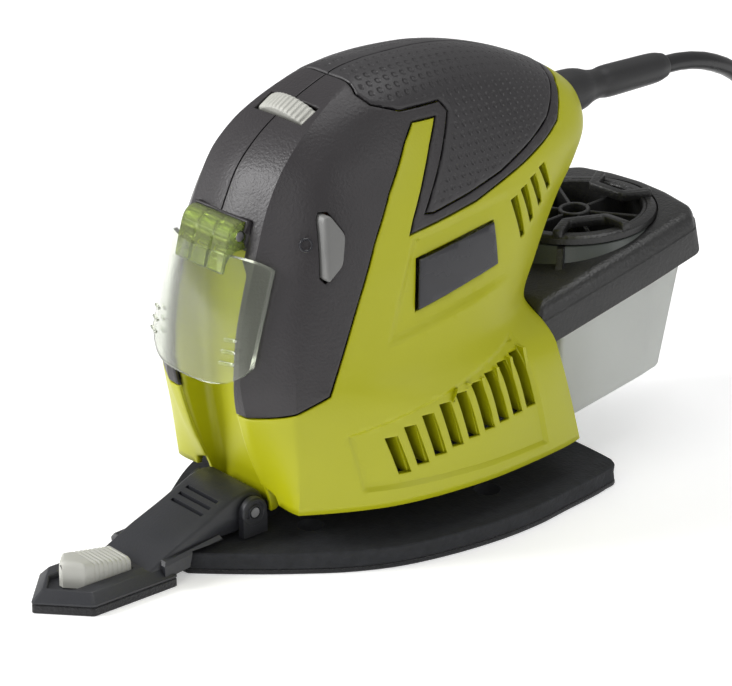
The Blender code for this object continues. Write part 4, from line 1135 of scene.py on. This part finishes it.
def pad():
    outline = sole_outline()
    layer("hook_layer", outline, [(0.0, 0.25), (0.25, 0.0), (1.0, 0.0), (1.2, 0.15)], HOOK,
          "hook_fabric", "hook_face")
    layer("foam_layer", outline, [(1.5, 0.5), (1.9, 0.2), (4.0, 0.45), (6.3, 0.2), (6.7, 0.5)], FOAM,
          "foam", "foam_pad")
    profile = [(7.0, 0.9), (7.25, 0.45), (7.7, 0.3), (9.4, 0.3), (9.9, 0.75), (10.3, 1.5),
               (14.3, 5.3), (14.8, 5.75), (15.0, 6.3)]
    plate = loft([[(x, y, z) for x, y in inset_ring(outline, inset)] for z, inset in profile])
    plate = boolean(plate, [prism_z([(-14.4, -80), (14.4, -80), (14.4, -37), (-14.4, -37)], 8.3, 40)])
    boss = rod(15, 12, 22, (ORBIT, 0, 0), segments=48)
    plate = boolean(unite(plate, boss), [rod(12.3, 14, 40, (ORBIT, 0, 0), segments=48)])
    plate = drilled(plate)
    ears = []
    for side in (-1, 1):
        profile = [(1.9, -1.3), (4.2, -1.3), (4.6, -1.0), (4.6, 0.9), (4.2, 1.3), (3.4, 1.3),
                   (3.1, 0.9), (2.6, 0.9), (2.4, 1.3), (1.9, 1.3)]
        ears.append(turned(profile, (side * 12.9, HINGE_Y, HINGE_Z), (side, 0, 0), 40, ring=True))
        foot = [(HINGE_Y - 4.5, 7.6), (HINGE_Y + 4.6, 7.6), (HINGE_Y + 4.5, HINGE_Z - 1.2),
                (HINGE_Y - 4.5, HINGE_Z - 1.2)]
        hole = rod(2.2, -30, 30, (0, HINGE_Y, HINGE_Z), (1, 0, 0))
        ears.append(boolean(prism_x(foot, side * 12.9 - 1.2, side * 12.9 + 1.2), [hole]))
    finish_mesh("plate_layer", joined(plate, *ears), PLATE, "pad",
                ["base_plate"], sharp=40)


def finger():
    """The fold-up detail finger: its hook pad, body with latch pocket, neck, and the latch."""
    tip = mirrored_outline([(0, -116.1), (13.6, -103.5), (13.6, -73.6), (0, -73.6)])
    hook = loft([[(x, y, z) for x, y in inset_ring(tip, inset, 0.8)]
                 for z, inset in ((0.0, 0.3), (0.25, 0.1), (2.4, 0.1), (2.6, 0.3))])
    finish_mesh("finger_hook", hook, HOOK, "finger", ["finger_pad"])
    profile = [(2.9, 0.25), (3.1, 0.05), (3.6, 0.05), (3.8, 0.3), (6.2, 2.6), (6.5, 3.1)]
    body = loft([[(x, y, z) for x, y in inset_ring(tip, inset, 0.8)] for z, inset in profile])
    pocket = mirrored_outline([(0, -110.6), (5.9, -105.4), (6.3, -84.2), (0, -84.2)])
    cutter = loft([[(x, y, z) for x, y in inset_ring(pocket, -grow, 0.8)]
                   for z, grow in ((4.9, -0.2), (6.2, 0.0), (6.9, 0.7))])
    body = boolean(body, [cutter])
    side = [(-78, 3.0), (-67.4, 3.0), (-67.4, 8.9), (-43, 8.9), (-39.2, 12.5), (-38.8, 16),
            (-41, 20.2), (-45, 21.3), (-50, 20.4), (-62, 15.2), (-73, 11), (-78, 8.5),
            (-82, 6.6), (-83.4, 5.6), (-83.4, 4)]
    rings = [[(x, y, z) for y, z in inset_ring(side, shrink, 2.5)]
             for x, shrink in ((-11.2, 0.9), (-10.9, 0.35), (-10.3, 0.0), (10.3, 0.0),
                               (10.9, 0.35), (11.2, 0.9))]
    neck = boolean(loft(rings), [rod(1.9, -20, 20, (0, HINGE_Y, HINGE_Z), (1, 0, 0), 24)])
    grooves = [prism_x([(y, 30), (y + 1.1, 30), (y + 1.1, z), (y, z)], -7.5, 7.5)
               for y, z in ((-54.5, 17.4), (-57.3, 16.2), (-60.1, 15.0))]
    neck = boolean(neck, grooves)
    cheek = [(-13.3, -78), (-12.2, -56), (12.2, -56), (13.3, -78)]
    cheeks = loft([[(x, y, z + 0.09 * (y + 78)) for x, y in inset_ring(cheek, inset)]
                   for z, inset in ((3.2, 0.3), (7.4, 0.0), (8.6, 0.7))])
    cheeks = boolean(cheeks, [prism_x([(-70, -5), (-40, -5), (-40, 8.9), (-67.4, 8.9)], -20, 20)])
    finish_mesh("finger_body", joined(body, neck, cheeks), PLATE, "finger",
                ["finger_arm"], sharp=32)
    rings = []
    for y in np.linspace(-105.4, -84.6, 84):
        half = min(5.8, 0.9 + (y + 105.4) * 1.07)
        top = 9.9 + 0.18 * (-84.6 - y) - 1.6 * math.exp(-(y + 105.4) / 0.7)
        ridge = 0.32 * max(0.0, math.sin((y + 97.6) * 2 * math.pi / 1.6)) if y > -97.6 else 0.0
        edge = min(1.0, half * 0.45)
        section = [(half, 5.1), (half - ridge * 0.6, top - 1.6), (half - edge * 0.3 - ridge * 0.6, top - 0.7),
                   (half - edge - ridge * 0.4, top - 0.15 - ridge), (half - edge - 0.9, top - ridge)]
        ring = [(x, y, z) for x, z in section] + [(-x, y, z) for x, z in reversed(section)]
        if half < 2.2:
            ring = [(max(abs(x), 0.05) * (1 if x > 0 else -1), y, z) for x, y, z in ring]
        rings.append(ring)
    finish_mesh("latch_slider", loft(rings), PALE, "finger_latch",
                ["finger_latch"], sharp=40)


# ------------------------------------------------------------------ dust box
def tilt(y, height=0.0):
    """Height of the lid's plane at y."""
    return 70.0 + BOX_SLOPE * (y - 100.0) + height


def spoke(angle):
    """Unit vectors outwards and sideways at an angle round the turret."""
    out = Vector((math.cos(angle), math.sin(angle)))
    return out, Vector((-out.y, out.x))


def on_turret(x, along, height):
    """A point in the turret's own frame: across, along it from its centre, and above it."""
    run = math.hypot(1, TURRET_SLOPE)
    return (x, TURRET_Y + (along - TURRET_SLOPE * height) / run,
            TURRET_BASE + (TURRET_SLOPE * along + height) / run)


BIN_HALF = [(0, 63.8), (30, 63.8), (30.3, 107), (29.8, 117), (27, 120), (14, 121.8), (0, 122.4)]
LID_HALF = [(0, 55), (29.5, 55), (30, 100), (29.5, 120), (24.5, 124.4), (12, 126.8), (0, 127.6)]
# Each wing is a three-sided bow: (towards the rim, sideways) from the turret's centre.
WING = [(22.6, -13), (13.6, -7.4), (13.6, 7.4), (22.6, 13), (24.2, 9.8), (16.4, 5.4),
        (16.4, -5.4), (24.2, -9.8)]


def inclined(outline, profile, radius=0.0):
    """A solid through (lift, grow) rings parallel to the lid's plane."""
    return loft([[(x, y, tilt(y, lift)) for x, y in inset_ring(outline, -grow, radius)]
                 for lift, grow in profile])


def body_block(grow):
    """The whole body as one closed solid, grown by a margin."""
    grid = (GRID + surface_normals(GRID) * grow)[::2, ::4]
    rings = []
    for row in grid:
        half = [tuple(p) for p in row]
        rings.append(half + [(-x, y, z) for x, y, z in reversed(half[1:-1])])
    return loft(rings)


def dust_bin():
    """Frosted bin: drafted walls, a sloping floor and thin ribs inside."""
    outline = mirrored_outline(BIN_HALF)

    def shell(inset, low, lift):
        rings = []
        for rise, more in ((0.0, 2.6), (0.3, 1.9), (1.0, 1.45)):
            rings.append([(x, 63.8 + (y - 63.8) * 0.865, low + rise + 0.15 * (y - 64))
                          for x, y in inset_ring(outline, inset + more, 2.0)])
        foot = rings[-1]
        top = inset_ring(outline, inset, 2.0)
        for t in np.linspace(0.1, 1, 9):
            rings.append([(a[0] + (b[0] - a[0]) * t, a[1] + (b[1] - a[1]) * t,
                           a[2] + (tilt(b[1], lift) - a[2]) * t) for a, b in zip(foot, top)])
        return rings

    outer, inner = shell(0.0, 16.2, -10.0), shell(1.5, 17.8, -10.0)
    hole = rod(8.8, 60, 70, (0, 0, 34.0), (0, 1, 0), 40)
    walls = boolean(loft(outer + inner[::-1]), [hole])
    ribs = []
    for side in (-1, 1):
        for y in (72.0, 77.5, 104.0):
            foot = [(y - 0.3, 26), (y + 0.3, 26), (y + 1.2, tilt(y, -11)), (y + 0.6, tilt(y, -11))]
            ribs.append(prism_x(foot, side * 25.4, side * 27.6))
    finish_mesh("bin_shell", joined(walls, *ribs), BIN, "dust_box", ["dust_bin"],
                sharp=40)


def dust_lid():
    """Lid with a rounded rim and a skirt, and the flared turret wall that stands on it."""
    centre, up = (0, TURRET_Y, TURRET_BASE), (0, -TURRET_SLOPE, 1)
    rim = mirrored_outline(LID_HALF)
    profile = [(-13.5, 3.0), (-13.3, 3.35), (-12.8, 3.45), (-5.4, 2.2), (-5.0, 1.75), (-4.4, 1.6),
               (-3.4, 1.4), (-2.4, 1.0), (-1.5, 0.45), (-0.8, -0.35), (-0.3, -1.3), (0, -2.6)]
    lid = inclined(rim, profile, 2.0)
    seat = mirrored_outline(BIN_HALF)
    body = body_block(0.35)
    bore = rod(TURRET_R - 2.2, -20, 7, centre, up, 96)
    pocket = rod(TURRET_R + 1.1, 6.1, 20, centre, up, 96)
    cutters = [inclined(seat, [(-20, 0.4), (-9.7, 0.4)]), inclined(seat, [(-30, -2.5), (-2.5, -2.5)]),
               bore.copy(), pocket.copy(), body.copy()]
    finish_mesh("lid_shell", boolean(lid, cutters), LID, "dust_box", ["dust_lid"],
                sharp=32)
    cone = turned([(0, -3.4), (TURRET_R + 5.6, -3.4), (TURRET_R + 3.2, 0.2), (TURRET_R + 1.3, 3.2),
                   (TURRET_R + 0.2, 5.8), (TURRET_R - 0.1, 6.0), (0, 6.0)], centre, up, 96)
    ribs = []
    for sign in (-1, 1):
        rings = []
        for lift, away, half in ((-4.0, 10.6, 1.5), (2.0, 5.5, 1.5), (6.0, 2.4, 1.4)):
            out = Vector((sign * math.cos(math.radians(-53)), math.sin(math.radians(-53))))
            side = Vector((-out.y, out.x))
            ring = [out * (TURRET_R - 3) - side * half, out * (TURRET_R + away) - side * half * 0.7,
                    out * (TURRET_R + away) + side * half * 0.7, out * (TURRET_R - 3) + side * half]
            rings.append([on_turret(c.x, c.y, lift) for c in ring])
        ribs.append(loft(rings))
    limit = prism_z(inset_ring(rim, 0.9), 40, 90)
    wall = boolean(boolean(cone, [limit], "INTERSECT"), [bore, body.copy()])
    finish_mesh("lid_turret", wall, TURRET, "dust_box", sharp=30)
    ribs = boolean(joined(*ribs), [rod(TURRET_R - 2.4, -20, 9, centre, up, 64), body, pocket])
    finish_mesh("lid_ribs", ribs, LID, "dust_box")


def filter_cap():
    """Turning cap: rim, sleeve, hub, six ribs, louvre bars and three finger wings."""
    centre, up = (0, TURRET_Y, TURRET_BASE), (0, -TURRET_SLOPE, 1)
    r = TURRET_R
    rim = turned([(r - 2.6, 6.4), (r + 0.3, 6.4), (r + 0.6, 6.7), (r + 0.5, 8.5), (r - 0.1, 9.1),
                  (r - 0.9, 9.3), (r - 2.3, 9.3), (r - 2.6, 9.0)], centre, up, 96, ring=True)
    sleeve = turned([(r - 4.6, -1), (r - 2.5, -1), (r - 2.5, 8.8), (r - 2.8, 9.1), (r - 3.6, 9.1),
                     (r - 4.0, 8.7), (r - 4.6, 2.0)], centre, up, 96, ring=True)
    hub = turned([(3.7, -0.4), (5.4, -0.4), (5.2, 8.1), (4.9, 8.4), (4.1, 8.4), (3.8, 8.1)],
                 centre, up, 40, ring=True)
    floor = rod(r - 4.4, -1.0, -0.3, centre, up, 64)
    parts = [rim, sleeve, hub, floor]
    for k in range(6):
        out, side = spoke(math.pi * (k / 3 + 1 / 6))
        rings = []
        for lift, half in ((-0.6, 0.85), (7.6, 0.55), (7.9, 0.25)):
            corners = [out * 4.6 + side * half, out * (r - 4.2) + side * half,
                       out * (r - 4.2) - side * half, out * 4.6 - side * half]
            rings.append([on_turret(c.x, c.y, lift) for c in corners])
        parts.append(loft(rings))
    out, side = spoke(math.radians(210))
    for k in range(-2, 3):
        near, far = 8.5 + 1.6 * abs(k), math.sqrt((r - 4.8) ** 2 - (3.0 * k) ** 2)
        rings = []
        for lift, half in ((-0.4, 0.6), (5.4, 0.6), (5.8, 0.25)):
            corners = [out * a + side * (3.0 * k + b) for a, b in
                       ((near, -half), (far, -half), (far, half), (near, half))]
            rings.append([on_turret(c.x, c.y, lift) for c in corners])
        parts.append(loft(rings))
    for angle in (-math.pi / 6, math.pi / 2, math.pi * 7 / 6):
        out, side = spoke(angle)
        rings = []
        for lift, inset in ((8.4, 0.3), (8.7, 0.1), (10.8, 0.1), (11.2, 0.3), (11.4, 0.7)):
            corners = [out * a + side * b for a, b in inset_ring(WING, inset, 1.2, 4)]
            rings.append([on_turret(c.x, c.y, lift) for c in corners])
        parts.append(loft(rings))
    finish_mesh("cap_cage", joined(*parts), LID, "filter_cap", ["filter_cap"])
    count = 40
    pleats = [((17 if k % 2 else 14.4) * math.cos(math.pi * k / count),
               (17 if k % 2 else 14.4) * math.sin(math.pi * k / count)) for k in range(2 * count)]
    rings = [[on_turret(x * s, y * s, lift) for x, y in pleats]
             for s, lift in ((0.6, -9.0), (1.0, -9.0), (1.0, -1.6), (0.6, -1.6), (0.6, -9.0))]
    finish_mesh("filter_pleats", loft(rings, closed_ends=False), PAPER, "dust_box",
                ["filter_element"], sharp=20)


# ------------------------------------------------------------------ cord fittings and screws
def fittings():
    steps = np.linspace(0, 8, 41)
    neck = np.array([(7.0, 80), (7.2, 92.0), (6.7, 97.2), (5.3, 101.6), (4.75, 105.5), (5.2, 110.0),
                     (5.1, 122), (4.9, 131), (4.1, 135.2)])
    flare = [tuple(p) for p in hermite(neck, np.zeros(9), steps)]
    boot = turned([(0, 80)] + flare + [(3.5, 136), (0, 136)], (0, 0, BOOT_Z), (0, 1, 0), 64)
    finish_mesh("boot", boot, RUBBER, "housing", ["cord_boot"])
    rings = []
    knots = np.array([(236.6, 4.6, 4.6), (231, 5.0, 5.0), (226, 6, 6), (217, 12, 9), (210, 16, 11.6),
                      (203, 17.5, 13), (194, 17.5, 13), (191.6, 17.0, 12.6), (191, 15.8, 11.4)])
    for y, wide, tall in hermite(knots, [0, 0, 0, 0, 0, 0, 0.5, 0.5, 0], np.linspace(0, 8, 49)):
        grip = 1 - 0.05 * max(0.0, math.sin(y * 2.2)) * (1 if 204 < y < 222 else 0)
        ring = []
        for a in np.linspace(0, 2 * math.pi, 48, endpoint=False):
            c, s = math.cos(a), math.sin(a)
            round_out = (abs(c) ** 2.6 + abs(s) ** 2.6) ** (-1 / 2.6)
            ring.append((44 + wide * grip * c * round_out, y, 13.4 + tall * s * round_out))
        rings.append(ring)
    finish_mesh("plug_body", loft(rings), RUBBER, "housing", ["plug"], sharp=50)
    for name, shift in (("left", -9.5), ("right", 9.5)):
        pin = soft_rod(2.4, 171.5, 190.9, (44 + shift, 0, 13.4), (0, 1, 0), 32, 1.2)
        finish_mesh("pin_" + name, pin, BRASS, "housing", ["plug_pin_" + name])
    for index, (y, z) in enumerate(HOUSING_SCREWS, 1):
        face = -body_side_x(y, z)
        well = turned([(4.15, -25.0), (5.2, -25.0), (5.2, face + 1.6), (4.15, face + 1.0)][::-1],
                      (0, y, z), (1, 0, 0), 40, ring=True)
        black = (y, z) == BLACK_SCREW
        finish_mesh(f"screw_well_{index}", well, BLACK if black else LIME, "housing")
        shank = turned([(0, -22.4), (3.6, -22.4), (3.6, -24.2), (3.2, -24.8), (0, -25)][::-1],
                       (0, y, z), (1, 0, 0), 32)
        slots = [prism_x([(y - a, z - b), (y + a, z - b), (y + a, z + b), (y - a, z + b)],
                         -26, -23.8) for a, b in ((2.3, 0.45), (0.45, 2.3))]
        head = boolean(shank, slots)
        body = rod(1.6, -22.6, 11, (0, y, z), (1, 0, 0), 20)
        finish_mesh(f"screw_{index}", joined(head, body), STEEL, "housing",
                    [f"housing_screw_{index}"])


def inner_parts():
    """Procedural materials for the parts that keep their CAD shape."""
    looks = ((IRON, ("armature", "stator")),
             (WINDING, ("commutator", "winding_upper", "winding_lower")),
             (BLACK, ("fan", "cord_clamp", "dust_duct", "switch_body", "speed_control")),
             (STEEL, ("eccentric", "pad_screw", "lower_bearing", "upper_bearing", "pad_bearing",
                      "finger_pin")),
             (BRASS, ("brush_holder_left", "brush_holder_right")),
             (CARBON, ("brush_left", "brush_right")),
             (BOARD, ("control_board",)),
             (RUBBER, [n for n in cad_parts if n.startswith("post_")]))
    for mat, names in looks:
        for name in names:
            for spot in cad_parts[name].material_slots:
                spot.material = mat


# ------------------------------------------------------------------ stage
def stage():
    """A pale floor and soft studio lights."""
    mesh = bpy.data.meshes.new("floor")
    size = 6.0
    mesh.from_pydata([(-size, -size, 0), (size, -size, 0), (size, size, 0), (-size, size, 0)], [],
                     [(0, 1, 2, 3)])
    floor = link("floor", mesh)
    shader = Shader("floor", (0.9, 0.9, 0.9), 0.7)
    shader.mottle(3, 0.01)
    shader.bsdf.inputs["Emission Color"].default_value = (1, 1, 1, 1)
    shader.bsdf.inputs["Emission Strength"].default_value = 0.35
    mesh.materials.append(shader.mat)
    bpy.context.scene.view_settings.view_transform = "Standard"
    world = bpy.data.worlds.new("studio")
    world.use_nodes = True
    world.node_tree.nodes["Background"].inputs["Color"].default_value = (1, 1, 1, 1)
    world.node_tree.nodes["Background"].inputs["Strength"].default_value = 0.4
    bpy.context.scene.world = world
    lights = (("top", (0.0, 0.25, 1.3), (0.8, 0.8), 5.0),
              ("left", (-0.75, -1.1, 0.75), (0.45, 0.9), 19.0),
              ("right", (1.2, 0.5, 0.6), (0.5, 0.8), 2.2),
              ("front", (0.7, -1.3, 0.9), (0.8, 0.8), 3.0))
    for name, place, size, power in lights:
        data = bpy.data.lights.new(name, "AREA")
        data.shape = "RECTANGLE"
        data.size, data.size_y = size
        data.energy = power
        lamp = bpy.data.objects.new(name, data)
        bpy.context.collection.objects.link(lamp)
        lamp.location = place
        lamp.rotation_euler = (Vector((0, 0, 0.06)) - Vector(place)).to_track_quat("-Z", "Y").to_euler()


camera()
cord_piece, cord_length, cord_exit = cord()
lime_shells()
front_covers()
grips()
labels()
channel_liner()
hinge_cradle()
vent_fins()
guard()
switch()
dial()
pad()
finger()
dust_bin()
dust_lid()
filter_cap()
fittings()
inner_parts()
stage()
